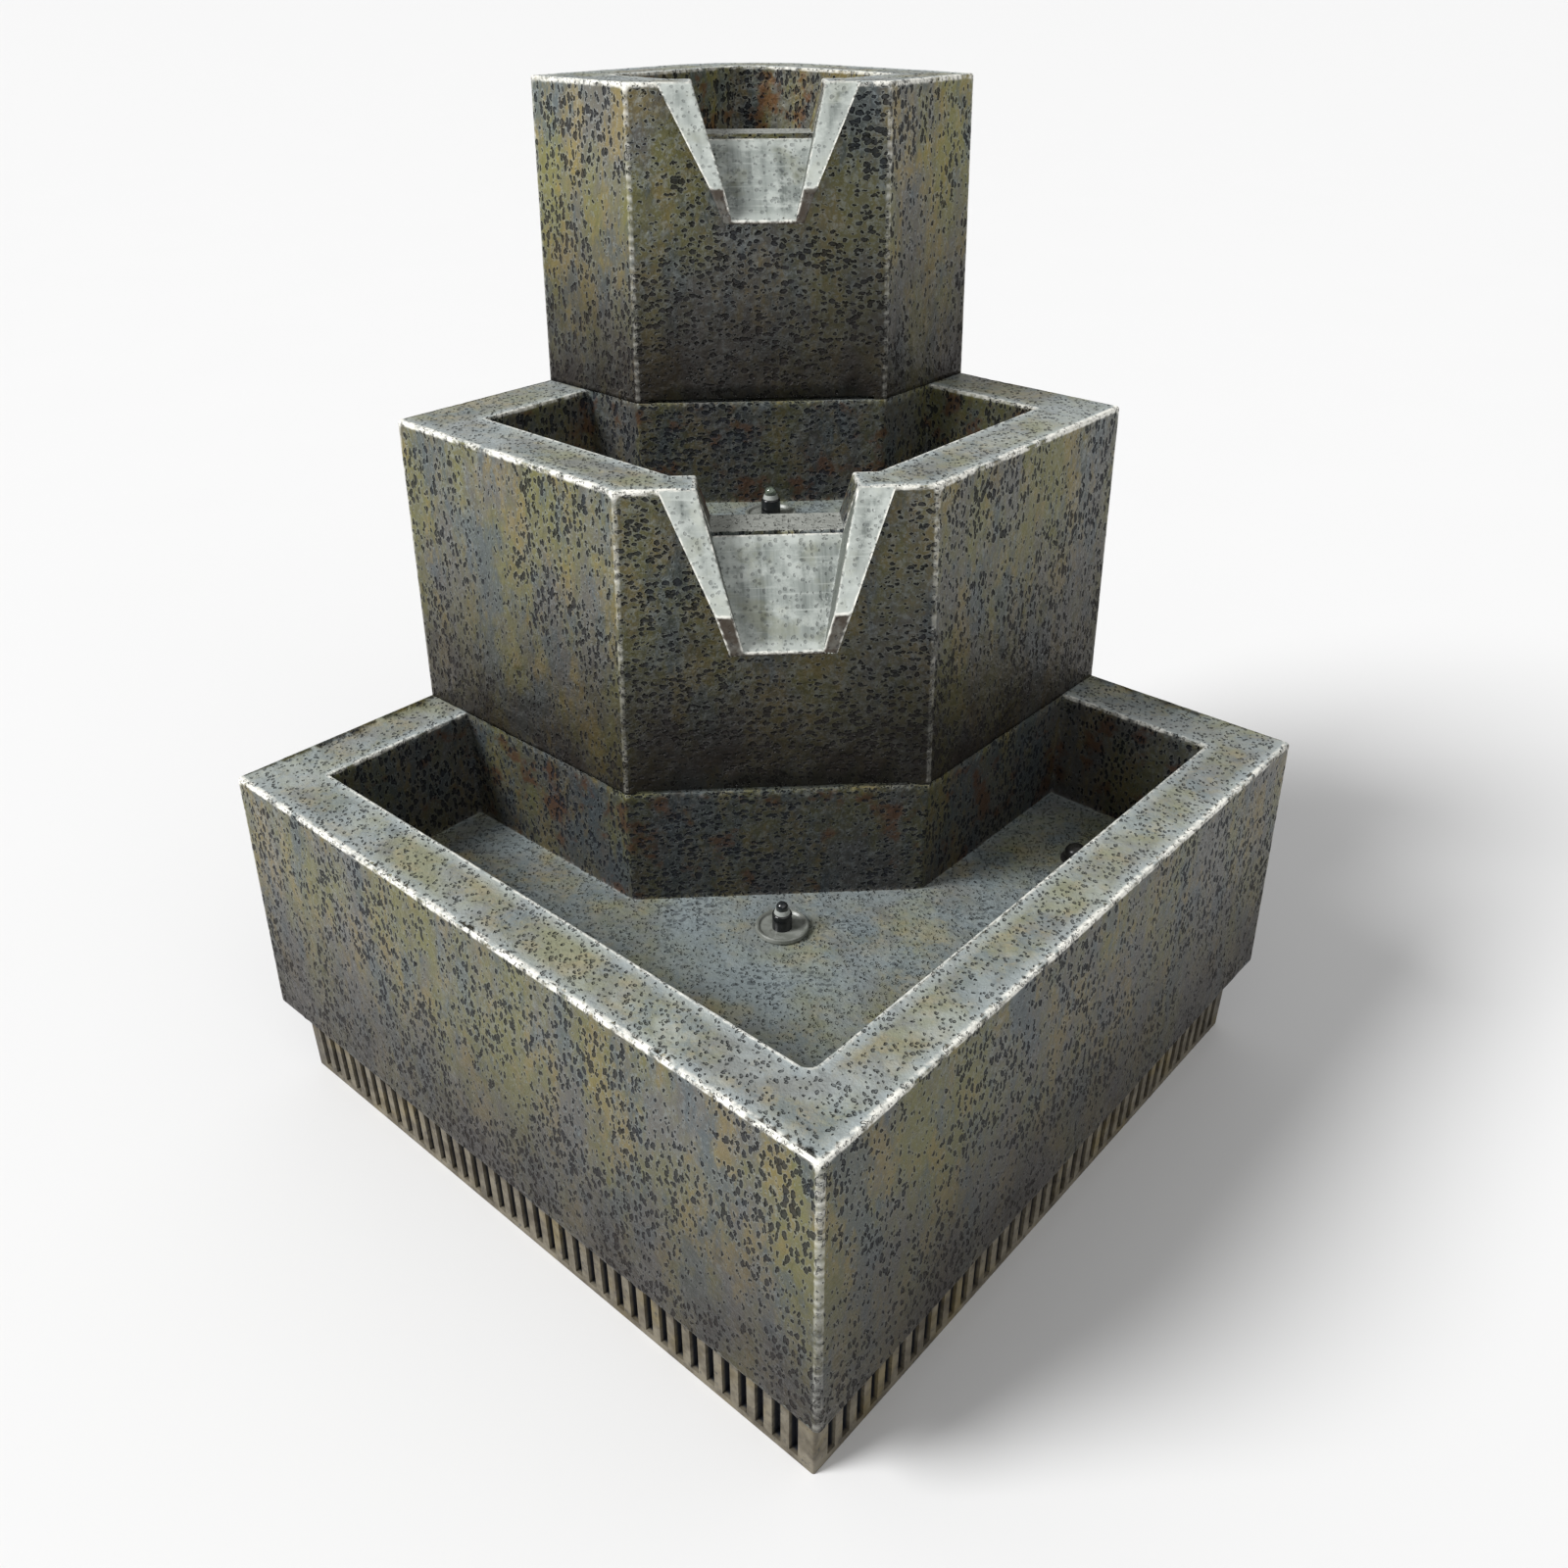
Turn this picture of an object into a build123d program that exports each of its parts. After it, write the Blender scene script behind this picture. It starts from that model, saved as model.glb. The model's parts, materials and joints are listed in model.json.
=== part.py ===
from build123d import *
import os
from math import sqrt

# Three-tier corner fountain. Every tier is a square set cornerwise: its back corner fits the
# corner of two walls, the back faces are upright and the front faces lean in a little upwards.
# Plan distances run from the sharp back corner forwards along -Y. All sizes are in millimetres.

ROOT2 = sqrt(2)

# ---------------------------------------------------------------- tiers
LOW_SIDE = 760.0        # sides of the square plans, along the rims and along the feet
LOW_FOOT = 772.6
MID_SIDE = 517.0
MID_FOOT = 526.6
TOP_SIDE = 311.3
TOP_FOOT = 320.9
MID_NOSE = 589.7        # back corner to the flat nose, at the rim and at the foot
MID_NOSE_FOOT = 595.7
TOP_NOSE = 316.4
TOP_NOSE_FOOT = 326.0
Z_PLINTH = 90.0         # top of the plinth
Z_LOW = 376.0           # the three rims
Z_MID = 680.0
Z_TOP = 972.0
LOW_FLOOR = 249.5       # water side of each basin floor
MID_FLOOR = 573.0
TOP_FLOOR = 840.0
FLOOR_T = 18.0
DECK_T = 22.0
LOW_RIM = 65.0
MID_RIM = 63.0
TOP_RIM = 57.0
NOSE_WALL = 40.0
SKIRT_WALL = 42.0       # walls round the hollow undersides
BACK_ROUND = 120.0      # rounding of the upright back corner
CORNER_ROUND = 5.0      # rounding of the other upright corners
FOOT_ROUND = 7.0
RIM_ROUND = 3.0
TROUGH_ROUND = 10.0
SEAM_GAP = 3.0          # shadow gap under the nose of each upper tier

# ---------------------------------------------------------------- plinth
PLINTH_INSET = 18.3
PLINTH_WALL = 48.0
FLUTE_COUNT = 37
FLUTE_PITCH = 19.2
FLUTE_WIDTH = 9.8
FLUTE_DEPTH = 9.0
FLUTE_FOOT = 8.0

# ---------------------------------------------------------------- walls, notches and seams
PEDESTAL_WALL = 35.0
MID_NOTCH_TOP = 70.0    # half widths of the spout notches, at the rim and at the sill
MID_NOTCH_SILL = 58.0
TOP_NOTCH_TOP = 62.0
TOP_NOTCH_SILL = 50.0
NOTCH_ROUND = 2.5       # rounding of the rim's ends at a notch
MID_SEAM_HALF = 138.0
TOP_SEAM_HALF = 116.0
BOWL_BACK_ROUND = 50.0
BOWL_HALF = 150.0

# ---------------------------------------------------------------- spouts
MID_SILL = 642.0
TOP_SILL = 929.0
SILL_STEP = 3.0         # the chute starts this far below its sill
PLATE_T = 7.0           # chute plate at the wall, thinning to the lip
LIP_T = 3.0

# ---------------------------------------------------------------- lamps, heights above the floor
LAMP_HOLE = 13.0
LOW_LAMP = (0.0, -653.0)
MID_LAMP = (6.0, -372.0)
SAUCER_R = 27.0
SAUCER_T = 2.4
LAMP_BODY_R = 10.0
LAMP_BODY_TOP = 20.0
LAMP_BODY_ROUND = 2.0
LAMP_COLLAR_R = 8.0
LAMP_COLLAR_TOP = 24.0
LAMP_LENS_R = 6.0
LAMP_LENS_ROUND = 5.4
LAMP_TOP = 32.0
LAMP_STEM_R = 6.0
LAMP_NUT_W = 22.0       # nuts are measured across their flats

# ---------------------------------------------------------------- fits
SLIP_GAP = 0.4          # round fits that part when a tier is lifted
HOLE_GAP = 0.2          # between a fitting and its hole in a casting
NUT_FIT = 0.1           # between a fitting and its nut, socket or gasket
NUT_T = 6.0
THREAD_OVER = 4.0       # thread left below a nut

# ---------------------------------------------------------------- well and riser
WELL_FLOOR = 158.0
WELL_WALL = 40.0
RISER_Y = -180.0        # the riser stands on the middle line
RISER_OD = 25.0
RISER_ID = 20.0
RISER_FOOT = 270.0
RISER_TOP = 812.0
ADAPTER_R = 16.0
NOZZLE_GRIP = 16.0      # adapter over the pump's nozzle
SOCKET_DEEP = 24.0      # riser in its adapter
DECK_HOLE = 36.0
GROMMET_GAP = 0.6
GROMMET_LIP = 4.0
GROMMET_LIP_T = 2.0

# ---------------------------------------------------------------- bowl inlet and its cap
INLET_R = 14.3
INLET_FLANGE_R = 24.0
INLET_FLANGE_T = 4.0
INLET_GASKET_T = 2.0
INLET_NECK_R = 12.0
INLET_BORE_R = 9.0
INLET_FOOT = 790.0
INLET_TOP = 876.0
INLET_NUT_W = 44.0
SOCKET_OVER = 4.0       # room above the riser in the inlet's socket
CAP_R = 18.0
CAP_WALL = 3.5
CAP_H = 24.0
CAP_ROUND = 7.0
CAP_GRIP = 10.0         # cap over the inlet's neck
CAP_ROOF = 4.0
CAP_SLOT_W = 3.0
CAP_SLOT_H = 7.0
CAP_SLOT_FOOT = 1.0

# ---------------------------------------------------------------- drain
DRAIN_X = 320.0         # drain, in the right arm of the trough
DRAIN_Y = -553.0
DRAIN_BORE = 16.0
DRAIN_SEAT_R = 11.0
DRAIN_FLANGE_R = 15.0
DRAIN_FLANGE_T = 2.0
DRAIN_THREAD_OVER = 3.0
DRAIN_NUT_W = 32.0
PLUG_R = 11.5
PLUG_H = 15.0
PLUG_DOME = 8.5
PLUG_BRIM = 1.5
PLUG_STEM = 18.0
PLUG_STEM_ROUND = 2.0

# ---------------------------------------------------------------- return to the pump
RETURN_X = -349.0       # return strainer, in the left arm of the trough
RETURN_Y = -574.0
RETURN_Z = 190.0
RETURN_OD = 22.0
RETURN_WALL = 2.5
RETURN_TAIL_R = 11.0
RETURN_BORE_R = 8.5
RETURN_FLANGE_R = 19.0
RETURN_FLANGE_T = 3.0
RETURN_GASKET_T = 1.5
RETURN_NUT_W = 34.0
RETURN_BEND = 14.0      # from the strainer's axis to the start of the return pipe
RETURN_RUN = 172.0
ELBOW_R = 14.0
ELBOW_TAIL = 16.0       # from the pipe's axis up to the fitting's tail
ELBOW_SOCKET = 12.0
ELBOW_SLEEVE = 18.0
STRAINER_R = 17.0
STRAINER_WALL = 3.0
STRAINER_H = 16.0
STRAINER_ROOF = 5.0
STRAINER_ROUND = 9.0
STRAINER_SLOT_W = 2.4
STRAINER_SLOT_H = 8.0
STRAINER_SLOT_FOOT = 2.5
SLOT_LONG = 60.0        # star-shaped slots are cut right across

# ---------------------------------------------------------------- rear cover
COVER_W = 190.0
COVER_H = 150.0
COVER_T = 8.0
COVER_GAP = 1.0
COVER_ROUND = 3.0
GASKET_T = 2.0
OPENING_W = 140.0
OPENING_H = 100.0
COVER_ALONG = 275.0     # back corner to the middle of the cover, along the back right face
COVER_Z = 470.0
SCREW_PITCH_W = 166.0
SCREW_PITCH_H = 126.0
SCREW_R = 2.0
SCREW_LONG = 18.0
SCREW_SINK = 1.0        # screw heads lie this far below the cover's face
HEAD_R = 5.0
HEAD_T = 3.0
SINK_R = 5.5
SLOT_W = 1.2
SLOT_DEEP = 1.6
SLOT_L = 7.0
INSERT_R = 3.6
INSERT_L = 16.0
GLAND_OD = 16.0
GLAND_FLANGE = 4.0
GLAND_FLANGE_T = 6.0
GLAND_BORE_R = 3.5
GLAND_DROP = 30.0       # the gland sits below the middle of the cover

# ---------------------------------------------------------------- pump
PUMP_Z = 206.0          # height of the motor axis
VOLUTE_R = 31.0
CASE_ROUND = 16.0
CASE_END_ROUND = 7.0
VOLUTE_BACK = -166.0    # stations along the motor axis, counted like plan distances
VOLUTE_FRONT = -194.0
VOLUTE_WALL = 4.0
VOLUTE_ROOM_R = 21.0
INLET_EYE_R = 8.0
MOTOR_FRONT = -280.0
GRILLE_BACK = -146.0
GRILLE_R = 26.0
GRILLE_WALL = 3.0
GRILLE_ROUND = 4.0
GRILLE_SLOT_W = 2.4
GRILLE_SLOT_BACK = 5.0
GRILLE_SLOT_DEEP = 11.0
GRILLE_SLOT_LONG = 80.0
NOZZLE_OD = 19.0
NOZZLE_ID = 15.0
NOZZLE_TOP = 58.0       # above the motor axis
NOZZLE_FOOT = 20.0
PLUG_BOSS_R = 8.0
PLUG_BOSS_H = 9.0
PLUG_BOSS_BACK = 26.0
ROTOR_ROOM_R = 14.0
ROTOR_ROOM_L = 56.0
ROTOR_R = 12.5
ROTOR_L = 52.0
COLLAR_R = 9.0
COLLAR_L = 4.0
HUB_R = 6.0
HUB_L = 16.0
VANE_SPAN = 36.0
VANE_T = 1.8
VANE_L = 14.0
SHAFT_R = 2.0
SHAFT_GAP = 0.1
SHAFT_CLEAR = 2.0       # shaft's end and impeller behind the volute's wall
HUB_CLEAR = 4.0
SHAFT_DEEP = 62.0       # bearing hole, from the front of the volute
SHAFT_IN_MOTOR = 60.0
CASE_SCREW_R = 1.5
CASE_SCREW_GAP = 0.2
CASE_SCREW_IN = 14.0    # threaded hole in the motor's case
CASE_SCREW_GRIP = 12.0
CASE_HEAD_R = 3.0
CASE_HEAD_T = 2.0
SCREW_SPREAD = 22.0     # case screws, off the pump's middle planes
DIAL_R = 11.0
DIAL_T = 4.5
DIAL_GRIP_W = 4.0
DIAL_GRIP_L = 20.0
DIAL_GRIP_T = 3.0
DIAL_GAP = 0.5          # between the dial and the grille
DIAL_PIN_R = 2.4
DIAL_PIN_L = 6.0
DIAL_PIN_IN = 1.0       # start of the pin, inside the dial
DIAL_HOLE_R = 2.5
FEET_SPREAD = 14.0
FEET_REAR = 12.0        # feet from the motor's two ends
FEET_FRONT = 16.0
FOOT_CUP_R = 8.5
FOOT_CUP_T = 4.0
FOOT_STEM_R = 4.0

# spouts: half widths and heights, named from the wall (root) to the free end
MID_SPOUT = {
    "nose": MID_NOSE,
    "rim": Z_MID,
    "sill": MID_SILL,
    "reach": 88.0,
    "root_out": 104.0,
    "root_in": MID_NOTCH_TOP,
    "root_plate": MID_NOTCH_SILL,
    "end_out": 57.5,
    "end_in": 42.5,
    "lip_out": 46.0,
    "lip_plate": 34.0,
    "end_z": 600.0,
    "lip_z": 566.0,
}
TOP_SPOUT = {
    "nose": TOP_NOSE,
    "rim": Z_TOP,
    "sill": TOP_SILL,
    "reach": 76.0,
    "root_out": 95.0,
    "root_in": TOP_NOTCH_TOP,
    "root_plate": TOP_NOTCH_SILL,
    "end_out": 49.0,
    "end_in": 36.0,
    "lip_out": 37.0,
    "lip_plate": 29.0,
    "end_z": 892.0,
    "lip_z": 864.0,
}

# The frame's origin lies under the middle of the bounding box, whose front touches the lower
# basin just above its rounded foot edge.
LOW_WIDEST = LOW_FOOT - (LOW_FOOT - LOW_SIDE) * FOOT_ROUND / (Z_LOW - Z_PLINTH)
FRONT_TIP = LOW_WIDEST * ROOT2 - CORNER_ROUND * (ROOT2 - 1)
BACK_TIP = BACK_ROUND * (ROOT2 - 1)
BACK_Y = (FRONT_TIP + BACK_TIP) / 2


def plan(x, forward):
    """Point of the plan from its side offset and its distance in front of the back corner."""
    return (x, BACK_Y + forward)


DRAIN = plan(DRAIN_X, DRAIN_Y)
RETURN = plan(RETURN_X, RETURN_Y)
RISER = plan(0, RISER_Y)


def tier_plan(side, nose=None, back=0.0, front=0.0, lip=0.0):
    """Corners of a tier's plan, or of a space inside it behind walls of these thicknesses."""
    half = side / ROOT2
    left_x = -half + (back + front) / ROOT2
    left_y = left_x - back * ROOT2
    if nose is None:
        tip = [plan(0, -2 * half + front * ROOT2)]
    else:
        nose_x = 2 * half - front * ROOT2 - nose + lip
        tip = [plan(-nose_x, -nose + lip), plan(nose_x, -nose + lip)]
    return [plan(0, -back * ROOT2), plan(left_x, left_y)] + tip + [plan(-left_x, left_y)]


def prism(corners, z_low, z_high, mode=Mode.ADD):
    """Upright prism on plan corners, in the part being built."""
    with BuildSketch(Plane.XY.offset(z_low), mode=Mode.PRIVATE) as outline:
        with BuildLine():
            Polyline(*corners, close=True)
        make_face()
    extrude(outline.sketch, amount=z_high - z_low, mode=mode)


def disc(spot, radius, z_low, z_high, mode=Mode.ADD):
    """Upright cylinder at a point of the plan, in the part being built."""
    with BuildSketch(Plane.XY.offset(z_low), mode=Mode.PRIVATE) as outline:
        with Locations(spot):
            Circle(radius)
    extrude(outline.sketch, amount=z_high - z_low, mode=mode)


def bar(axis_plane, radius, length, mode=Mode.ADD):
    """Cylinder that stands on a plane along its normal, in the part being built."""
    with BuildSketch(axis_plane, mode=Mode.PRIVATE) as outline:
        Circle(radius)
    extrude(outline.sketch, amount=length, mode=mode)


def top_circle(block):
    """Highest round edge of an upright turned piece."""
    return block.edges().filter_by(GeomType.CIRCLE).sort_by(Axis.Z)[-1:]


def foot_circle(block):
    """Lowest round edge of an upright turned piece."""
    return block.edges().filter_by(GeomType.CIRCLE).sort_by(Axis.Z)[:1]


def hexagon(spot, across, z_low, z_high):
    """Upright hexagonal nut body at a point of the plan, in the part being built."""
    with BuildSketch(Plane.XY.offset(z_low), mode=Mode.PRIVATE) as outline:
        with Locations(spot):
            RegularPolygon(across / 2, 6, major_radius=False)
    extrude(outline.sketch, amount=z_high - z_low)


def nose_plane(nose_top, nose_foot, z_top, z_foot):
    """Raked plane of a tier's flat nose, normal pointing out."""
    rake = (nose_foot - nose_top) / (z_top - z_foot)
    return Plane(origin=(*plan(0, -nose_top), z_top), x_dir=(1, 0, 0), z_dir=(0, -1, rake))


def front_plane(hand, side_top, side_foot, z_top, z_foot):
    """Raked plane of the front left (-1) or front right (1) face, normal pointing out."""
    rake = (side_foot - side_top) / (z_top - z_foot)
    return Plane(
        origin=(*plan(0, -side_top * ROOT2), z_top),
        x_dir=(1, hand, 0),
        z_dir=(hand / ROOT2, -1 / ROOT2, rake),
    )


def back_right_plane(along, z, inset=0.0):
    """Upright plane at or behind the back right face, normal pointing out, its Y up."""
    x, y = plan((along - inset) / ROOT2, -(along + inset) / ROOT2)
    return Plane(origin=(x, y, z), x_dir=(-1, 1, 0), z_dir=(1, 1, 0))


def tier_block(block, side_top, side_foot, z_foot, z_top, nose_top=None, nose_foot=None):
    """Solid block of a tier, rounded at its upright corners and round its rim."""
    prism(tier_plan(side_foot), z_foot, z_top)
    for hand in (-1, 1):
        split(bisect_by=front_plane(hand, side_top, side_foot, z_top, z_foot), keep=Keep.BOTTOM)
    if nose_top is not None:
        split(bisect_by=nose_plane(nose_top, nose_foot, z_top, z_foot), keep=Keep.BOTTOM)
    tall = z_top - z_foot - 1
    upright = block.edges().filter_by(lambda edge: edge.bounding_box().size.Z > tall)
    fillet(upright.sort_by(Axis.Y)[:-1], radius=CORNER_ROUND)
    upright = block.edges().filter_by(lambda edge: edge.bounding_box().size.Z > tall)
    fillet(upright.sort_by(Axis.Y)[-1:], radius=BACK_ROUND)
    fillet(rim_edges(block, z_top), radius=RIM_ROUND)


def rim_edges(block, z_rim):
    """Edges of a tier that lie in its rim plane."""
    return block.edges().filter_by_position(Axis.Z, z_rim - 0.01, z_rim + 0.01)


def reach(edge):
    """How far forward the middle of an edge lies, measured square to a front face."""
    return abs(edge.center().X) + BACK_Y - edge.center().Y


def inner_rim_edges(block, z_rim, nearest, farthest):
    """Edges in the rim plane between the pedestal and the outer edge."""
    return rim_edges(block, z_rim).filter_by(lambda edge: nearest < reach(edge) < farthest)


def basin(z_floor, z_rim, outer, pedestal, front_round):
    """Water space round a pedestal, in the part being built."""
    with BuildSketch(Plane.XY.offset(z_floor)) as water:
        with BuildLine():
            Polyline(*outer, close=True)
        make_face()
        if front_round:
            fillet(water.vertices().sort_by(Axis.Y)[:1], radius=front_round)
        with BuildLine():
            Polyline(*pedestal, close=True)
        make_face(mode=Mode.SUBTRACT)
    extrude(water.sketch, amount=z_rim - z_floor, mode=Mode.SUBTRACT)


def notch(half_top, half_sill, z_rim, z_sill, nose):
    """Spout notch through the nose wall, in the part being built."""
    above = 20.0
    clear = 15.0
    wide = half_top + (half_top - half_sill) / (z_rim - z_sill) * above
    with BuildSketch(Plane.XZ.offset(nose - NOSE_WALL - clear - BACK_Y)) as opening:
        with BuildLine():
            Polyline(
                (-half_sill, z_sill),
                (half_sill, z_sill),
                (wide, z_rim + above),
                (-wide, z_rim + above),
                close=True,
            )
        make_face()
    extrude(opening.sketch, amount=NOSE_WALL + 2 * clear, mode=Mode.SUBTRACT)


def notch_ends(block, half_top, z_rim):
    """Edges where the rim ends at the two sides of a notch."""
    return rim_edges(block, z_rim).filter_by(
        lambda edge: abs(abs(edge.center().X) - half_top) < 1 and edge.bounding_box().size.X < 1
    )


def seam_gap(half_width, nose_foot, z_seam, wall):
    """Shallow gap under the nose, through its wall, in the part being built."""
    y_front = -nose_foot - 5
    y_back = -nose_foot + wall + 5
    corners = [
        plan(-half_width, y_front),
        plan(half_width, y_front),
        plan(half_width, y_back),
        plan(-half_width, y_back),
    ]
    prism(corners, z_seam, z_seam + SEAM_GAP, Mode.SUBTRACT)


# ================================================================ castings
with BuildPart() as fluted_plinth:
    plinth_half = LOW_FOOT / ROOT2 - PLINTH_INSET * ROOT2
    plinth_inner = PLINTH_INSET + PLINTH_WALL
    prism(tier_plan(LOW_FOOT, back=PLINTH_INSET, front=PLINTH_INSET), 0, Z_PLINTH)
    fillet(fluted_plinth.edges().filter_by(Axis.Z).sort_by(Axis.Y)[:-1], radius=CORNER_ROUND / 2)
    fillet(fluted_plinth.edges().filter_by(Axis.Z).sort_by(Axis.Y)[-1:], radius=BACK_ROUND)
    prism(tier_plan(LOW_FOOT, back=plinth_inner, front=plinth_inner), 0, Z_PLINTH, Mode.SUBTRACT)
    for hand in (-1, 1):
        flute_height = Z_PLINTH - FLUTE_FOOT
        face_middle = plan(hand * plinth_half / 2, -LOW_FOOT / ROOT2 - plinth_half / 2)
        flute_face = Plane(
            origin=(*face_middle, FLUTE_FOOT + flute_height / 2),
            x_dir=(1, hand, 0),
            z_dir=(hand, -1, 0),
        )
        with BuildSketch(flute_face) as flutes:
            with GridLocations(FLUTE_PITCH, 1, FLUTE_COUNT, 1):
                Rectangle(FLUTE_WIDTH, flute_height)
        extrude(flutes.sketch, amount=-FLUTE_DEPTH, mode=Mode.SUBTRACT)
fluted_plinth.part.label = "fluted_plinth"

with BuildPart() as lower_basin:
    tier_block(lower_basin, LOW_SIDE, LOW_FOOT, Z_PLINTH, Z_LOW)
    fillet(rim_edges(lower_basin, Z_PLINTH), radius=FOOT_ROUND)
    basin(
        LOW_FLOOR,
        Z_LOW,
        tier_plan(LOW_SIDE, back=LOW_RIM, front=LOW_RIM),
        tier_plan(MID_FOOT, MID_NOSE_FOOT),
        TROUGH_ROUND,
    )
    pedestal_reach = MID_FOOT * ROOT2
    fillet(
        inner_rim_edges(lower_basin, Z_LOW, pedestal_reach + 10, (LOW_SIDE - LOW_RIM) * ROOT2 + 10),
        radius=RIM_ROUND,
    )
    well_plan = tier_plan(MID_FOOT, MID_NOSE_FOOT, back=LOW_RIM, front=WELL_WALL, lip=WELL_WALL)
    prism(well_plan, WELL_FLOOR, Z_LOW, Mode.SUBTRACT)
    prism(well_plan, Z_PLINTH, WELL_FLOOR - FLOOR_T, Mode.SUBTRACT)
    with BuildSketch(Plane.XY.offset(Z_PLINTH)) as under_trough:
        with BuildLine():
            Polyline(*tier_plan(LOW_FOOT, back=LOW_RIM, front=SKIRT_WALL), close=True)
        make_face()
        with BuildLine():
            Polyline(*tier_plan(MID_FOOT, MID_NOSE_FOOT), close=True)
        make_face(mode=Mode.SUBTRACT)
    extrude(under_trough.sketch, amount=LOW_FLOOR - FLOOR_T - Z_PLINTH, mode=Mode.SUBTRACT)
    disc(plan(*LOW_LAMP), LAMP_HOLE / 2, LOW_FLOOR - FLOOR_T, LOW_FLOOR, Mode.SUBTRACT)
    disc(DRAIN, DRAIN_SEAT_R + HOLE_GAP, LOW_FLOOR - FLOOR_T, LOW_FLOOR, Mode.SUBTRACT)
    disc(RETURN, RETURN_TAIL_R + HOLE_GAP, LOW_FLOOR - FLOOR_T, LOW_FLOOR, Mode.SUBTRACT)
    return_axis = Plane(origin=(*RETURN, RETURN_Z), x_dir=(1, -1, 0), z_dir=(1, 1, 0))
    bar(return_axis.offset(RETURN_BEND), RETURN_OD / 2 + HOLE_GAP, RETURN_RUN, Mode.SUBTRACT)
lower_basin.part.label = "lower_basin"

with BuildPart() as middle_tier:
    tier_block(middle_tier, MID_SIDE, MID_FOOT, Z_LOW, Z_MID, MID_NOSE, MID_NOSE_FOOT)
    basin(
        MID_FLOOR,
        Z_MID,
        tier_plan(MID_SIDE, MID_NOSE, back=MID_RIM, front=MID_RIM, lip=NOSE_WALL),
        tier_plan(TOP_FOOT, TOP_NOSE_FOOT),
        0,
    )
    fillet(
        inner_rim_edges(middle_tier, Z_MID, TOP_FOOT * ROOT2 + 10, (MID_SIDE - MID_RIM) * ROOT2 + 10),
        radius=RIM_ROUND,
    )
    notch(MID_NOTCH_TOP, MID_NOTCH_SILL, Z_MID, MID_SILL, MID_NOSE)
    fillet(notch_ends(middle_tier, MID_NOTCH_TOP, Z_MID), radius=NOTCH_ROUND)
    prism(
        tier_plan(MID_FOOT, MID_NOSE_FOOT, back=MID_RIM, front=SKIRT_WALL, lip=SKIRT_WALL),
        Z_LOW,
        MID_FLOOR - FLOOR_T,
        Mode.SUBTRACT,
    )
    prism(
        tier_plan(TOP_FOOT, TOP_NOSE_FOOT, back=MID_RIM, front=PEDESTAL_WALL, lip=PEDESTAL_WALL),
        MID_FLOOR - FLOOR_T,
        Z_MID - DECK_T,
        Mode.SUBTRACT,
    )
    seam_gap(MID_SEAM_HALF, MID_NOSE_FOOT, Z_LOW, SKIRT_WALL)
    disc(RISER, DECK_HOLE / 2, Z_MID - DECK_T, Z_MID, Mode.SUBTRACT)
    disc(plan(*MID_LAMP), LAMP_HOLE / 2, MID_FLOOR - FLOOR_T, MID_FLOOR, Mode.SUBTRACT)
    recess = COVER_T + GASKET_T
    with BuildSketch(back_right_plane(COVER_ALONG, COVER_Z)) as cover_recess:
        Rectangle(COVER_W + 2 * COVER_GAP, COVER_H + 2 * COVER_GAP)
    extrude(cover_recess.sketch, amount=-recess, mode=Mode.SUBTRACT)
    with BuildSketch(back_right_plane(COVER_ALONG, COVER_Z, recess)) as rear_opening:
        Rectangle(OPENING_W, OPENING_H)
    extrude(rear_opening.sketch, amount=-MID_RIM, mode=Mode.SUBTRACT)
    with BuildSketch(back_right_plane(COVER_ALONG, COVER_Z, recess)) as insert_holes:
        with GridLocations(SCREW_PITCH_W, SCREW_PITCH_H, 2, 2):
            Circle(INSERT_R)
    extrude(insert_holes.sketch, amount=-INSERT_L, mode=Mode.SUBTRACT)
middle_tier.part.label = "middle_tier"

with BuildPart() as top_bowl:
    tier_block(top_bowl, TOP_SIDE, TOP_FOOT, Z_MID, Z_TOP, TOP_NOSE, TOP_NOSE_FOOT)
    bowl_plan = tier_plan(TOP_SIDE, TOP_NOSE, back=TOP_RIM, front=TOP_RIM, lip=NOSE_WALL)
    with BuildSketch(Plane.XY.offset(TOP_FLOOR)) as bowl:
        with BuildLine():
            Polyline(*bowl_plan, close=True)
        make_face()
        fillet(bowl.vertices().sort_by(Axis.Y)[-1:], radius=BOWL_BACK_ROUND)
    extrude(bowl.sketch, amount=Z_TOP - TOP_FLOOR, mode=Mode.SUBTRACT)
    bowl_rim = rim_edges(top_bowl, Z_TOP).filter_by(
        lambda edge: abs(edge.center().X) < BOWL_HALF and edge.center().Y < plan(0, -TOP_RIM)[1]
    )
    fillet(bowl_rim, radius=RIM_ROUND)
    notch(TOP_NOTCH_TOP, TOP_NOTCH_SILL, Z_TOP, TOP_SILL, TOP_NOSE)
    fillet(notch_ends(top_bowl, TOP_NOTCH_TOP, Z_TOP), radius=NOTCH_ROUND)
    prism(
        tier_plan(TOP_FOOT, TOP_NOSE_FOOT, back=MID_RIM, front=PEDESTAL_WALL, lip=PEDESTAL_WALL),
        Z_MID,
        TOP_FLOOR - FLOOR_T,
        Mode.SUBTRACT,
    )
    seam_gap(TOP_SEAM_HALF, TOP_NOSE_FOOT, Z_MID, PEDESTAL_WALL)
    disc(RISER, INLET_R + HOLE_GAP, TOP_FLOOR - FLOOR_T, TOP_FLOOR, Mode.SUBTRACT)
top_bowl.part.label = "top_bowl"


# ================================================================ spouts
def spout_section(size, forward, corners):
    """Closed outline in an upright plane square to the middle line."""
    with BuildSketch(Plane.XZ.offset(size["nose"] + forward - BACK_Y), mode=Mode.PRIVATE) as section:
        with BuildLine():
            Polyline(*corners, close=True)
        make_face()
    return section.sketch


def trapezoid(low_half, low_z, high_half, high_z):
    """Corners of an outline that is symmetrical about the middle line."""
    return [(-low_half, low_z), (low_half, low_z), (high_half, high_z), (-high_half, high_z)]


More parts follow.
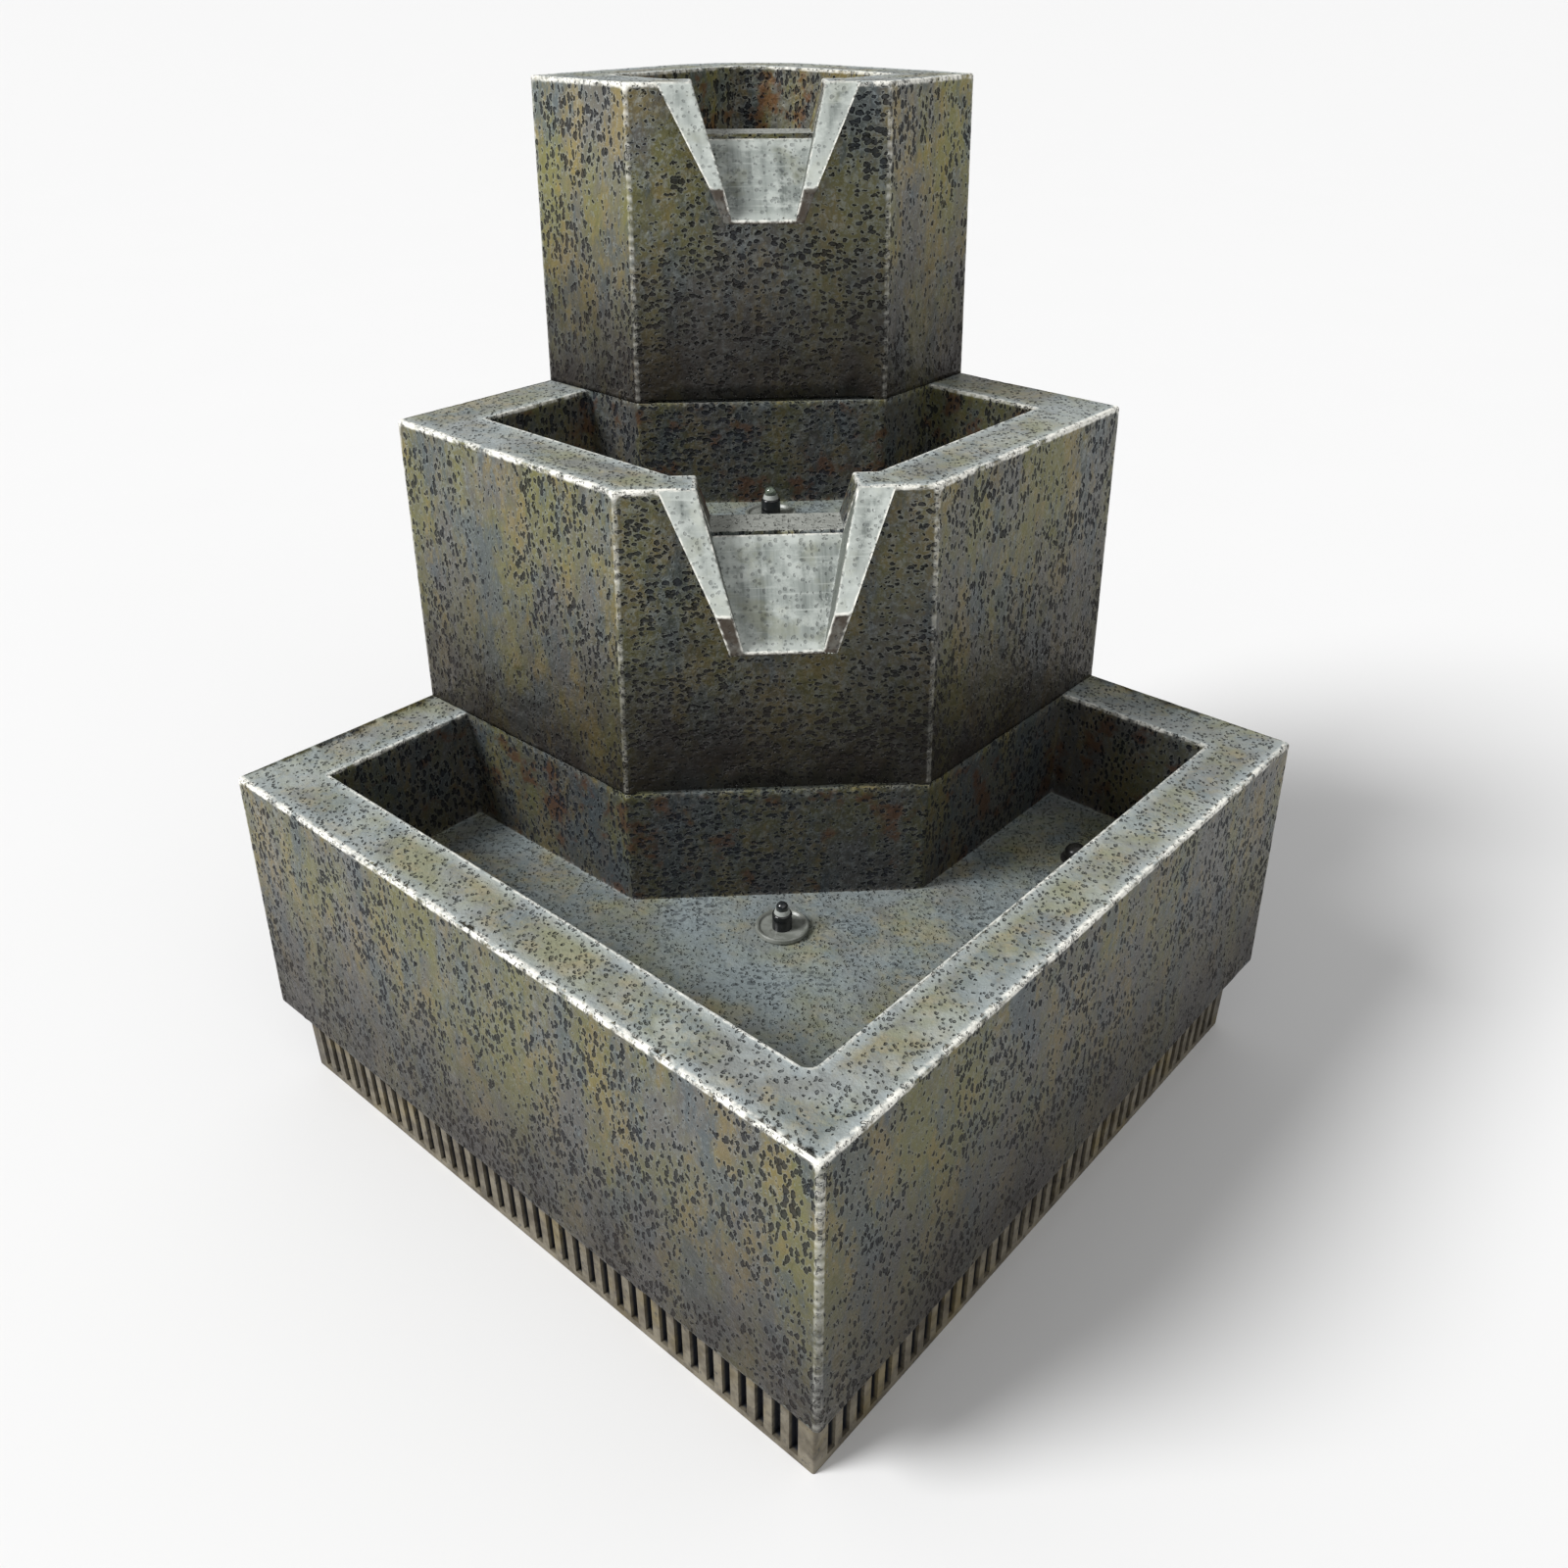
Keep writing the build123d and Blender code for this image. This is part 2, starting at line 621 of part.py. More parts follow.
def widened(low_half, low_z, high_half, high_z, above):
    """The same outline with its flanks carried on above its top."""
    flare = (high_half - low_half) / (high_z - low_z)
    return trapezoid(low_half, low_z, high_half + flare * above, high_z + above)


def spout_body(size, nose_foot, z_foot):
    """Chute plate between two cheeks that fall from the rim, in the part being built."""
    plate_z = size["sill"] - SILL_STEP
    root_low = size["root_plate"] + size["lip_out"] - size["lip_plate"]
    hull = [
        spout_section(
            size, 0, trapezoid(root_low, plate_z - PLATE_T, size["root_out"], size["rim"])
        ),
        spout_section(
            size,
            size["reach"],
            trapezoid(size["lip_out"], size["lip_z"] - LIP_T, size["end_out"], size["end_z"]),
        ),
    ]
    loft(hull)
    channel = [
        spout_section(
            size,
            0,
            widened(size["root_plate"], plate_z, size["root_in"], size["rim"], 30),
        ),
        spout_section(
            size,
            size["reach"],
            widened(size["lip_plate"], size["lip_z"], size["end_in"], size["end_z"], 30),
        ),
    ]
    loft(channel, mode=Mode.SUBTRACT)
    split(bisect_by=nose_plane(size["nose"], nose_foot, size["rim"], z_foot), keep=Keep.TOP)


with BuildPart() as middle_spout:
    spout_body(MID_SPOUT, MID_NOSE_FOOT, Z_LOW)
middle_spout.part.label = "middle_spout"

with BuildPart() as top_spout:
    spout_body(TOP_SPOUT, TOP_NOSE_FOOT, Z_MID)
top_spout.part.label = "top_spout"


# ================================================================ lamps
def turned(spot, z, outline):
    """Body of revolution about an upright axis, from its (radius, height) corners."""
    upright = Plane(origin=(*spot, z), x_dir=(1, 0, 0), z_dir=(0, -1, 0))
    with BuildSketch(upright, mode=Mode.PRIVATE) as half:
        with BuildLine():
            Polyline(*outline, close=True)
        make_face()
    revolve(half.sketch, axis=Axis((*spot, z), (0, 0, 1)))


def lamp_flange(spot, z_floor):
    """Dished translucent saucer with a raised rim."""
    with BuildPart() as flange:
        turned(
            spot,
            z_floor,
            [
                (LAMP_STEM_R + NUT_FIT, 0),
                (SAUCER_R - 0.6, 0),
                (SAUCER_R, 1.5),
                (SAUCER_R - 0.4, 4.6),
                (SAUCER_R - 1.6, 5.4),
                (SAUCER_R - 3.4, 5.0),
                (SAUCER_R - 5.2, 3.0),
                (LAMP_BODY_R + 2, SAUCER_T),
                (LAMP_STEM_R + NUT_FIT, SAUCER_T),
            ],
        )
    return flange


def lamp_body(spot, z_floor):
    """Sealed lamp can with its threaded stem through the floor."""
    with BuildPart() as body:
        disc(spot, LAMP_BODY_R, z_floor + SAUCER_T, z_floor + LAMP_BODY_TOP)
        fillet(top_circle(body), radius=LAMP_BODY_ROUND)
        disc(spot, LAMP_STEM_R, z_floor - FLOOR_T - NUT_T - THREAD_OVER, z_floor + SAUCER_T)
    return body


def lamp_collar(spot, z_floor):
    """Frosted ring between the can and the lens."""
    collar_h = LAMP_COLLAR_TOP - LAMP_BODY_TOP
    with BuildPart() as collar:
        turned(
            spot,
            z_floor + LAMP_BODY_TOP,
            [(0, 0), (LAMP_COLLAR_R, 0), (LAMP_LENS_R + 0.8, collar_h), (0, collar_h)],
        )
    return collar


def lamp_lens(spot, z_floor):
    """Domed lens."""
    with BuildPart() as lens:
        disc(spot, LAMP_LENS_R, z_floor + LAMP_COLLAR_TOP, z_floor + LAMP_TOP)
        fillet(top_circle(lens), radius=LAMP_LENS_ROUND)
    return lens


def lock_nut(spot, across, bore, z_floor_underside):
    """Hexagonal nut that clamps a fitting from under a floor."""
    with BuildPart() as nut:
        hexagon(spot, across, z_floor_underside - NUT_T, z_floor_underside)
        disc(spot, bore, z_floor_underside - NUT_T, z_floor_underside, Mode.SUBTRACT)
    return nut


def lamp(tier, spot, z_floor):
    """The five pieces of one underwater lamp, labelled with the name of their tier."""
    pieces = {
        "flange": lamp_flange(spot, z_floor),
        "body": lamp_body(spot, z_floor),
        "collar": lamp_collar(spot, z_floor),
        "lens": lamp_lens(spot, z_floor),
        "nut": lock_nut(spot, LAMP_NUT_W, LAMP_STEM_R + NUT_FIT, z_floor - FLOOR_T),
    }
    for name, piece in pieces.items():
        piece.part.label = f"{tier}_lamp_{name}"
    return list(pieces.values())


lower_lamp = lamp("lower", plan(*LOW_LAMP), LOW_FLOOR)
middle_lamp = lamp("middle", plan(*MID_LAMP), MID_FLOOR)


# ================================================================ drain and return
with BuildPart() as drain_seat:
    seat_foot = LOW_FLOOR - FLOOR_T - NUT_T - DRAIN_THREAD_OVER
    seat_top = LOW_FLOOR + DRAIN_FLANGE_T
    disc(DRAIN, DRAIN_FLANGE_R, LOW_FLOOR, seat_top)
    disc(DRAIN, DRAIN_SEAT_R, seat_foot, LOW_FLOOR)
    disc(DRAIN, DRAIN_BORE / 2, seat_foot, seat_top, Mode.SUBTRACT)
drain_seat.part.label = "drain_seat"

drain_nut = lock_nut(DRAIN, DRAIN_NUT_W, DRAIN_SEAT_R + NUT_FIT, LOW_FLOOR - FLOOR_T)
drain_nut.part.label = "drain_nut"

with BuildPart() as drain_plug:
    disc(DRAIN, PLUG_R, seat_top, seat_top + PLUG_H)
    fillet(top_circle(drain_plug), radius=PLUG_DOME)
    fillet(foot_circle(drain_plug), radius=PLUG_BRIM)
    disc(DRAIN, DRAIN_BORE / 2 - SLIP_GAP, seat_top - PLUG_STEM, seat_top)
    fillet(foot_circle(drain_plug), radius=PLUG_STEM_ROUND)
drain_plug.part.label = "drain_plug"

with BuildPart() as return_gasket:
    flange_foot = LOW_FLOOR + RETURN_GASKET_T
    disc(RETURN, RETURN_FLANGE_R, LOW_FLOOR, flange_foot)
    disc(RETURN, RETURN_TAIL_R + NUT_FIT, LOW_FLOOR, flange_foot, Mode.SUBTRACT)
return_gasket.part.label = "return_gasket"

with BuildPart() as return_fitting:
    flange_top = flange_foot + RETURN_FLANGE_T
    tail_foot = RETURN_Z + ELBOW_TAIL
    disc(RETURN, RETURN_FLANGE_R, flange_foot, flange_top)
    disc(RETURN, RETURN_TAIL_R, tail_foot, flange_foot)
    disc(RETURN, RETURN_BORE_R, tail_foot, flange_top, Mode.SUBTRACT)
return_fitting.part.label = "return_fitting"

return_nut = lock_nut(RETURN, RETURN_NUT_W, RETURN_TAIL_R + NUT_FIT, LOW_FLOOR - FLOOR_T)
return_nut.part.label = "return_nut"

with BuildPart() as return_strainer:
    strainer_top = flange_top + STRAINER_H
    inner_r = STRAINER_R - STRAINER_WALL
    disc(RETURN, STRAINER_R, flange_top, strainer_top)
    fillet(top_circle(return_strainer), radius=STRAINER_ROUND)
    disc(RETURN, inner_r, flange_top, strainer_top - STRAINER_ROOF, Mode.SUBTRACT)
    with BuildSketch(Plane.XY.offset(flange_top + STRAINER_SLOT_FOOT)) as slots:
        with Locations(RETURN):
            with PolarLocations(0, 6):
                Rectangle(SLOT_LONG, STRAINER_SLOT_W)
    extrude(slots.sketch, amount=STRAINER_SLOT_H, mode=Mode.SUBTRACT)
return_strainer.part.label = "return_strainer"

with BuildPart() as return_elbow:
    elbow_top = tail_foot + ELBOW_SOCKET
    sleeve = return_axis.offset(RETURN_BEND)
    disc(RETURN, ELBOW_R, RETURN_Z, elbow_top)
    bar(return_axis, ELBOW_R, RETURN_BEND + ELBOW_SLEEVE)
    with Locations(return_axis.origin):
        Sphere(ELBOW_R)
    disc(RETURN, RETURN_TAIL_R + NUT_FIT, tail_foot, elbow_top, Mode.SUBTRACT)
    disc(RETURN, RETURN_BORE_R, RETURN_Z, tail_foot, Mode.SUBTRACT)
    bar(return_axis, RETURN_BORE_R, RETURN_BEND, Mode.SUBTRACT)
    bar(sleeve, RETURN_OD / 2 + NUT_FIT, ELBOW_SLEEVE, Mode.SUBTRACT)
return_elbow.part.label = "return_elbow"

with BuildPart() as return_pipe:
    pipe_long = RETURN_RUN - RETURN_BEND
    bar(sleeve, RETURN_OD / 2, pipe_long)
    bar(sleeve, RETURN_OD / 2 - RETURN_WALL, pipe_long, Mode.SUBTRACT)
return_pipe.part.label = "return_pipe"

# ================================================================ riser and bowl inlet
with BuildPart() as riser_adapter:
    nozzle_top = PUMP_Z + NOZZLE_TOP
    adapter_foot = nozzle_top - NOZZLE_GRIP
    adapter_top = RISER_FOOT + SOCKET_DEEP
    disc(RISER, ADAPTER_R, adapter_foot, adapter_top)
    disc(RISER, NOZZLE_OD / 2 + NUT_FIT, adapter_foot, nozzle_top, Mode.SUBTRACT)
    disc(RISER, NOZZLE_ID / 2, nozzle_top, RISER_FOOT, Mode.SUBTRACT)
    disc(RISER, RISER_OD / 2 + NUT_FIT, RISER_FOOT, adapter_top, Mode.SUBTRACT)
riser_adapter.part.label = "riser_adapter"

with BuildPart() as riser_pipe:
    disc(RISER, RISER_OD / 2, RISER_FOOT, RISER_TOP)
    disc(RISER, RISER_ID / 2, RISER_FOOT, RISER_TOP, Mode.SUBTRACT)
riser_pipe.part.label = "riser_pipe"

with BuildPart() as riser_grommet:
    deck_foot = Z_MID - DECK_T
    lip_foot = deck_foot - GROMMET_LIP_T
    lip_top = Z_MID + GROMMET_LIP_T
    disc(RISER, DECK_HOLE / 2, deck_foot, Z_MID)
    disc(RISER, DECK_HOLE / 2 + GROMMET_LIP, lip_foot, deck_foot)
    disc(RISER, DECK_HOLE / 2 + GROMMET_LIP, Z_MID, lip_top)
    disc(RISER, RISER_OD / 2 + GROMMET_GAP, lip_foot, lip_top, Mode.SUBTRACT)
riser_grommet.part.label = "riser_grommet"

with BuildPart() as bowl_gasket:
    gasket_top = TOP_FLOOR + INLET_GASKET_T
    disc(RISER, INLET_FLANGE_R, TOP_FLOOR, gasket_top)
    disc(RISER, INLET_R + NUT_FIT, TOP_FLOOR, gasket_top, Mode.SUBTRACT)
bowl_gasket.part.label = "bowl_gasket"

with BuildPart() as bowl_inlet:
    socket_top = RISER_TOP + SOCKET_OVER
    inlet_flange_top = gasket_top + INLET_FLANGE_T
    disc(RISER, INLET_FLANGE_R, gasket_top, inlet_flange_top)
    disc(RISER, INLET_R, INLET_FOOT, gasket_top)
    disc(RISER, INLET_NECK_R, inlet_flange_top, INLET_TOP)
    disc(RISER, RISER_OD / 2 + SLIP_GAP, INLET_FOOT, socket_top, Mode.SUBTRACT)
    disc(RISER, INLET_BORE_R, socket_top, INLET_TOP, Mode.SUBTRACT)
bowl_inlet.part.label = "bowl_inlet"

bowl_nut = lock_nut(RISER, INLET_NUT_W, INLET_R + NUT_FIT, TOP_FLOOR - FLOOR_T)
bowl_nut.part.label = "bowl_nut"

with BuildPart() as outlet_cap:
    cap_foot = INLET_TOP - CAP_GRIP
    cap_top = cap_foot + CAP_H
    disc(RISER, CAP_R, cap_foot, cap_top)
    fillet(top_circle(outlet_cap), radius=CAP_ROUND)
    disc(RISER, INLET_NECK_R + NUT_FIT, cap_foot, INLET_TOP, Mode.SUBTRACT)
    disc(RISER, CAP_R - CAP_WALL, INLET_TOP, cap_top - CAP_ROOF, Mode.SUBTRACT)
    with BuildSketch(Plane.XY.offset(INLET_TOP + CAP_SLOT_FOOT)) as cap_slots:
        with Locations(RISER):
            with PolarLocations(0, 5):
                Rectangle(SLOT_LONG, CAP_SLOT_W)
    extrude(cap_slots.sketch, amount=CAP_SLOT_H, mode=Mode.SUBTRACT)
outlet_cap.part.label = "outlet_cap"


# ================================================================ pump
def pump_station(forward):
    """Upright plane across the motor axis, its normal pointing forwards."""
    return Plane(origin=(*plan(0, forward), PUMP_Z), x_dir=(1, 0, 0), z_dir=(0, -1, 0))


def case_outline(station):
    """Rounded square outline of the pump case on a station plane."""
    with BuildSketch(station, mode=Mode.PRIVATE) as outline:
        RectangleRounded(2 * VOLUTE_R, 2 * VOLUTE_R, CASE_ROUND)
    return outline.sketch


def screw_circles(station, radius, length, mode=Mode.ADD):
    """Four cylinders on the case's screw axes, in the part being built."""
    with BuildSketch(pump_station(station), mode=Mode.PRIVATE) as circles:
        with GridLocations(2 * SCREW_SPREAD, 2 * SCREW_SPREAD, 2, 2):
            Circle(radius)
    extrude(circles.sketch, amount=length, mode=mode)


with BuildPart() as pump_motor:
    motor_length = VOLUTE_FRONT - MOTOR_FRONT
    extrude(case_outline(pump_station(VOLUTE_FRONT)), amount=motor_length)
    fillet(pump_motor.faces().sort_by(Axis.Y)[0].edges(), radius=CASE_END_ROUND)
    bar(pump_station(VOLUTE_FRONT), ROTOR_ROOM_R, ROTOR_ROOM_L, Mode.SUBTRACT)
    bar(pump_station(VOLUTE_FRONT), SHAFT_R, SHAFT_DEEP, Mode.SUBTRACT)
    screw_circles(VOLUTE_FRONT, CASE_SCREW_R, CASE_SCREW_IN, Mode.SUBTRACT)
    case_top = PUMP_Z + VOLUTE_R
    disc(plan(0, MOTOR_FRONT + PLUG_BOSS_BACK), PLUG_BOSS_R, case_top, case_top + PLUG_BOSS_H)
pump_motor.part.label = "pump_motor"

with BuildPart() as pump_volute:
    volute_depth = VOLUTE_BACK - VOLUTE_FRONT
    extrude(case_outline(pump_station(VOLUTE_BACK)), amount=volute_depth)
    room_back = VOLUTE_BACK - VOLUTE_WALL
    room_deep = volute_depth - VOLUTE_WALL
    disc(RISER, NOZZLE_OD / 2, PUMP_Z + NOZZLE_FOOT, nozzle_top)
    bar(pump_station(room_back), VOLUTE_ROOM_R, room_deep, Mode.SUBTRACT)
    bar(pump_station(VOLUTE_BACK), INLET_EYE_R, VOLUTE_WALL, Mode.SUBTRACT)
    disc(RISER, NOZZLE_ID / 2, PUMP_Z + NOZZLE_ID, nozzle_top, Mode.SUBTRACT)
    screw_circles(VOLUTE_BACK, CASE_SCREW_R + CASE_SCREW_GAP, volute_depth, Mode.SUBTRACT)
pump_volute.part.label = "pump_volute"

with BuildPart() as pump_screws:
    screw_circles(VOLUTE_BACK, CASE_SCREW_R, volute_depth + CASE_SCREW_GRIP)
    screw_circles(VOLUTE_BACK + CASE_HEAD_T, CASE_HEAD_R, CASE_HEAD_T)
pump_screws.part.label = "pump_screws"

with BuildPart() as pump_shaft:
    shaft_start = VOLUTE_BACK - VOLUTE_WALL - SHAFT_CLEAR
    bar(pump_station(shaft_start), SHAFT_R, shaft_start - VOLUTE_FRONT + SHAFT_IN_MOTOR)
pump_shaft.part.label = "pump_shaft"

with BuildPart() as pump_impeller:
    hub_start = VOLUTE_BACK - VOLUTE_WALL - HUB_CLEAR
    collar_start = hub_start - HUB_L
    rotor_start = collar_start - COLLAR_L
    bar(pump_station(hub_start), HUB_R, HUB_L)
    with BuildSketch(pump_station(hub_start)) as vanes:
        with PolarLocations(0, 3):
            Rectangle(VANE_SPAN, VANE_T)
    extrude(vanes.sketch, amount=VANE_L)
    bar(pump_station(collar_start), COLLAR_R, COLLAR_L)
    bar(pump_station(rotor_start), ROTOR_R, ROTOR_L)
    rotor_long = HUB_L + COLLAR_L + ROTOR_L
    bar(pump_station(hub_start), SHAFT_R + SHAFT_GAP, rotor_long, Mode.SUBTRACT)
pump_impeller.part.label = "pump_impeller"

with BuildPart() as pump_grille:
    grille_depth = GRILLE_BACK - VOLUTE_BACK
    grille_room = pump_station(GRILLE_BACK - GRILLE_WALL)
    bar(pump_station(GRILLE_BACK), GRILLE_R, grille_depth)
    fillet(
        pump_grille.edges().filter_by(GeomType.CIRCLE).sort_by(Axis.Y)[-1:], radius=GRILLE_ROUND
    )
    bar(grille_room, GRILLE_R - GRILLE_WALL, grille_depth - GRILLE_WALL, Mode.SUBTRACT)
    with BuildSketch(pump_station(GRILLE_BACK - GRILLE_SLOT_BACK)) as grille_slots:
        with PolarLocations(0, 8):
            Rectangle(GRILLE_SLOT_LONG, GRILLE_SLOT_W)
    extrude(grille_slots.sketch, amount=GRILLE_SLOT_DEEP, mode=Mode.SUBTRACT)
    bar(pump_station(GRILLE_BACK), DIAL_HOLE_R, GRILLE_WALL, Mode.SUBTRACT)
pump_grille.part.label = "pump_grille"

with BuildPart() as flow_dial:
    dial_back = GRILLE_BACK + DIAL_GAP + DIAL_T
    bar(pump_station(dial_back), DIAL_R, DIAL_T)
    with BuildSketch(pump_station(dial_back + DIAL_GRIP_T)) as dial_grip:
        Rectangle(DIAL_GRIP_W, DIAL_GRIP_L)
    extrude(dial_grip.sketch, amount=DIAL_GRIP_T)
    bar(pump_station(GRILLE_BACK + DIAL_PIN_IN), DIAL_PIN_R, DIAL_PIN_L)
flow_dial.part.label = "flow_dial"

with BuildPart() as pump_feet:
    case_foot = PUMP_Z - VOLUTE_R
    for side in (-1, 1):
        for forward in (VOLUTE_FRONT - FEET_REAR, MOTOR_FRONT + FEET_FRONT):
            foot = plan(side * FEET_SPREAD, forward)
            disc(foot, FOOT_CUP_R, WELL_FLOOR, WELL_FLOOR + FOOT_CUP_T)
            disc(foot, FOOT_STEM_R, WELL_FLOOR + FOOT_CUP_T, case_foot)
pump_feet.part.label = "pump_feet"


# ================================================================ rear cover
def cover_circles(inset, radius, length, mode=Mode.ADD):
    """Four cylinders on the cover's screw axes, inwards from a depth below its outer face."""
    with BuildSketch(back_right_plane(COVER_ALONG, COVER_Z, inset), mode=Mode.PRIVATE) as circles:
        with GridLocations(SCREW_PITCH_W, SCREW_PITCH_H, 2, 2):
            Circle(radius)
    extrude(circles.sketch, amount=-length, mode=mode)


with BuildPart() as rear_cover:
    with BuildSketch(back_right_plane(COVER_ALONG, COVER_Z)) as cover_outline:
        RectangleRounded(COVER_W, COVER_H, COVER_ROUND)
    extrude(cover_outline.sketch, amount=-COVER_T)
    cover_circles(0, SCREW_R + 0.3, COVER_T, Mode.SUBTRACT)
    cover_circles(0, SINK_R, SCREW_SINK + HEAD_T, Mode.SUBTRACT)
    gland_axis = back_right_plane(COVER_ALONG, COVER_Z - GLAND_DROP)
    bar(gland_axis.offset(-COVER_T), GLAND_OD / 2, COVER_T, Mode.SUBTRACT)
rear_cover.part.label = "rear_cover"

with BuildPart() as rear_gasket:
    with BuildSketch(back_right_plane(COVER_ALONG, COVER_Z, COVER_T)) as gasket_outline:
        Rectangle(COVER_W, COVER_H)
        Rectangle(OPENING_W, OPENING_H, mode=Mode.SUBTRACT)
    extrude(gasket_outline.sketch, amount=-GASKET_T)
    cover_circles(COVER_T, SCREW_R + 0.5, GASKET_T, Mode.SUBTRACT)
rear_gasket.part.label = "rear_gasket"

with BuildPart() as cover_screws:
    cover_circles(SCREW_SINK, HEAD_R, HEAD_T)
    cover_circles(SCREW_SINK + HEAD_T, SCREW_R, SCREW_LONG)
    with BuildSketch(back_right_plane(COVER_ALONG, COVER_Z, SCREW_SINK)) as drive_slots:
        with GridLocations(SCREW_PITCH_W, SCREW_PITCH_H, 2, 2):
            Rectangle(SLOT_L, SLOT_W)
            Rectangle(SLOT_W, SLOT_L)
    extrude(drive_slots.sketch, amount=-SLOT_DEEP, mode=Mode.SUBTRACT)
cover_screws.part.label = "cover_screws"

with BuildPart() as cover_inserts:
    cover_circles(COVER_T + GASKET_T, INSERT_R, INSERT_L)
    cover_circles(COVER_T + GASKET_T, SCREW_R + 0.1, INSERT_L, Mode.SUBTRACT)
cover_inserts.part.label = "cover_inserts"

with BuildPart() as cable_gland:
    gland_back = gland_axis.offset(-COVER_T - GLAND_FLANGE_T)
    gland_long = COVER_T + GLAND_FLANGE_T
    bar(gland_back, GLAND_OD / 2, gland_long)
    bar(gland_back, GLAND_OD / 2 + GLAND_FLANGE, GLAND_FLANGE_T)
    bar(gland_back, GLAND_BORE_R, gland_long, Mode.SUBTRACT)
cable_gland.part.label = "cable_gland"

# ================================================================ files
finished = [
    fluted_plinth,
    lower_basin,
    middle_tier,
    top_bowl,
    middle_spout,
    top_spout,
    *lower_lamp,
    *middle_lamp,
    drain_seat,
    drain_nut,
    drain_plug,
    return_gasket,
    return_fitting,
    return_nut,
    return_strainer,
    return_elbow,
    return_pipe,
    riser_adapter,
    riser_pipe,
    riser_grommet,
    bowl_gasket,
    bowl_inlet,
    bowl_nut,
    outlet_cap,
    pump_motor,
    pump_volute,
    pump_screws,
    pump_shaft,
    pump_impeller,
    pump_grille,
    flow_dial,
    pump_feet,
    rear_cover,
    rear_gasket,
    cover_screws,
    cover_inserts,
    cable_gland,
]
os.makedirs("parts", exist_ok=True)
for piece in finished:
    export_step(piece.part, f"parts/{piece.part.label}.step")
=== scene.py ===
import json
from math import cos, radians, sin, sqrt

import bmesh
import bpy
import numpy as np
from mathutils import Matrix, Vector
from mathutils.kdtree import KDTree


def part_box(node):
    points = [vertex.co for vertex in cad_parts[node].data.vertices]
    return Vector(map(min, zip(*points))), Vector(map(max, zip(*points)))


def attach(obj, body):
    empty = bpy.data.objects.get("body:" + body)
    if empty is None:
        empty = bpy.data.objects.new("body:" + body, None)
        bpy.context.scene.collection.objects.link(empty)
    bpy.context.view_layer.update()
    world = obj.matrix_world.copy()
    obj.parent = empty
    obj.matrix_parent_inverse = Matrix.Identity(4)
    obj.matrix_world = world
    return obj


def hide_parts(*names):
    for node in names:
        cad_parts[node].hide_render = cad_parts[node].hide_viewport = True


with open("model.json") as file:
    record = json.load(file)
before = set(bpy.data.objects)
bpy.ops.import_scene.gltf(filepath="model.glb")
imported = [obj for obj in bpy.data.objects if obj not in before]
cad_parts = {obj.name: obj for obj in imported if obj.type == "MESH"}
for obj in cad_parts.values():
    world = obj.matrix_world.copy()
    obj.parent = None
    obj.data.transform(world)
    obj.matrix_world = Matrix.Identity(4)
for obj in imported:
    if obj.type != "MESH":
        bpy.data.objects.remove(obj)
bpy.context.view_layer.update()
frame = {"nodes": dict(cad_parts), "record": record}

# ---------------------------------------------------------------- places, from the frame
MM = 0.001
ROOT2 = sqrt(2)
BACK_ROUND = 120 * MM
LOW_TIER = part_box("lower_basin")
MID_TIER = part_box("middle_tier")
TOP_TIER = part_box("top_bowl")
BACK_Y = LOW_TIER[1].y + BACK_ROUND * (ROOT2 - 1)
Z_PLINTH = LOW_TIER[0].z
Z_LOW = LOW_TIER[1].z
Z_MID = MID_TIER[1].z
Z_TOP = TOP_TIER[1].z
LOW_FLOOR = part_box("lower_lamp_flange")[0].z
MID_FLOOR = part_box("middle_lamp_flange")[0].z
MID_SILL = Z_MID - 38 * MM
TOP_SILL = Z_TOP - 43 * MM
TOP_BOWL_FLOOR = TOP_TIER[0].z + 141 * MM

# Distances from the back corner, measured along the two back faces and added up
LOW_OUTSIDE = 1.03
LOW_PEDESTAL = 0.735
MID_CAVITY = 0.69
TOP_CAVITY = 0.41

# Largest cell of the relief where a casting is hidden, and where each tier is seen
CELL_HIDDEN = 36 * MM
CELL_LOW = 8 * MM
CELL_MID = 7 * MM
CELL_TOP = 6 * MM
CELL_SPOUT = 5 * MM

# Distance that stands for no brushed edge nearby
FAR_FROM_EDGE = 1.0


# ---------------------------------------------------------------- noise for the relief
def lattice(cells, seed):
    """Repeatable random numbers in 0..1 for integer cells, one per row."""
    mixed = (cells * np.array([127.1, 311.7, 74.7])).sum(axis=1) + seed * 19.19
    value = np.sin(mixed) * 43758.5453
    return value - np.floor(value)


def soft_noise(points, size, seed):
    """Smooth value noise in 0..1 with features of about this size."""
    scaled = points / size
    base = np.floor(scaled)
    part = scaled - base
    part = part * part * (3 - 2 * part)
    total = np.zeros(len(points))
    for corner in np.ndindex(2, 2, 2):
        offset = np.array(corner)
        weight = np.where(offset, part, 1 - part).prod(axis=1)
        total += weight * lattice(base + offset, seed)
    return total


def pits(points, size, stretch, seed, share):
    """Rounded pits in 0..1: one in some of the cells, stretched along the given factors."""
    scaled = points / (size * np.array(stretch))
    base = np.floor(scaled)
    deepest = np.zeros(len(points))
    for step in np.ndindex(3, 3, 3):
        cell = base + np.array(step) - 1
        centre = cell + np.stack([lattice(cell, seed + k) for k in range(3)], axis=1)
        reach = 0.35 + 0.4 * lattice(cell, seed + 3)
        distance = np.linalg.norm(scaled - centre, axis=1) / reach
        there = lattice(cell, seed + 4) < share
        dent = np.clip(1 - distance, 0, 1)
        dent = dent * dent * (3 - 2 * dent) * there * (0.5 + 0.5 * lattice(cell, seed + 5))
        deepest = np.maximum(deepest, dent)
    return deepest


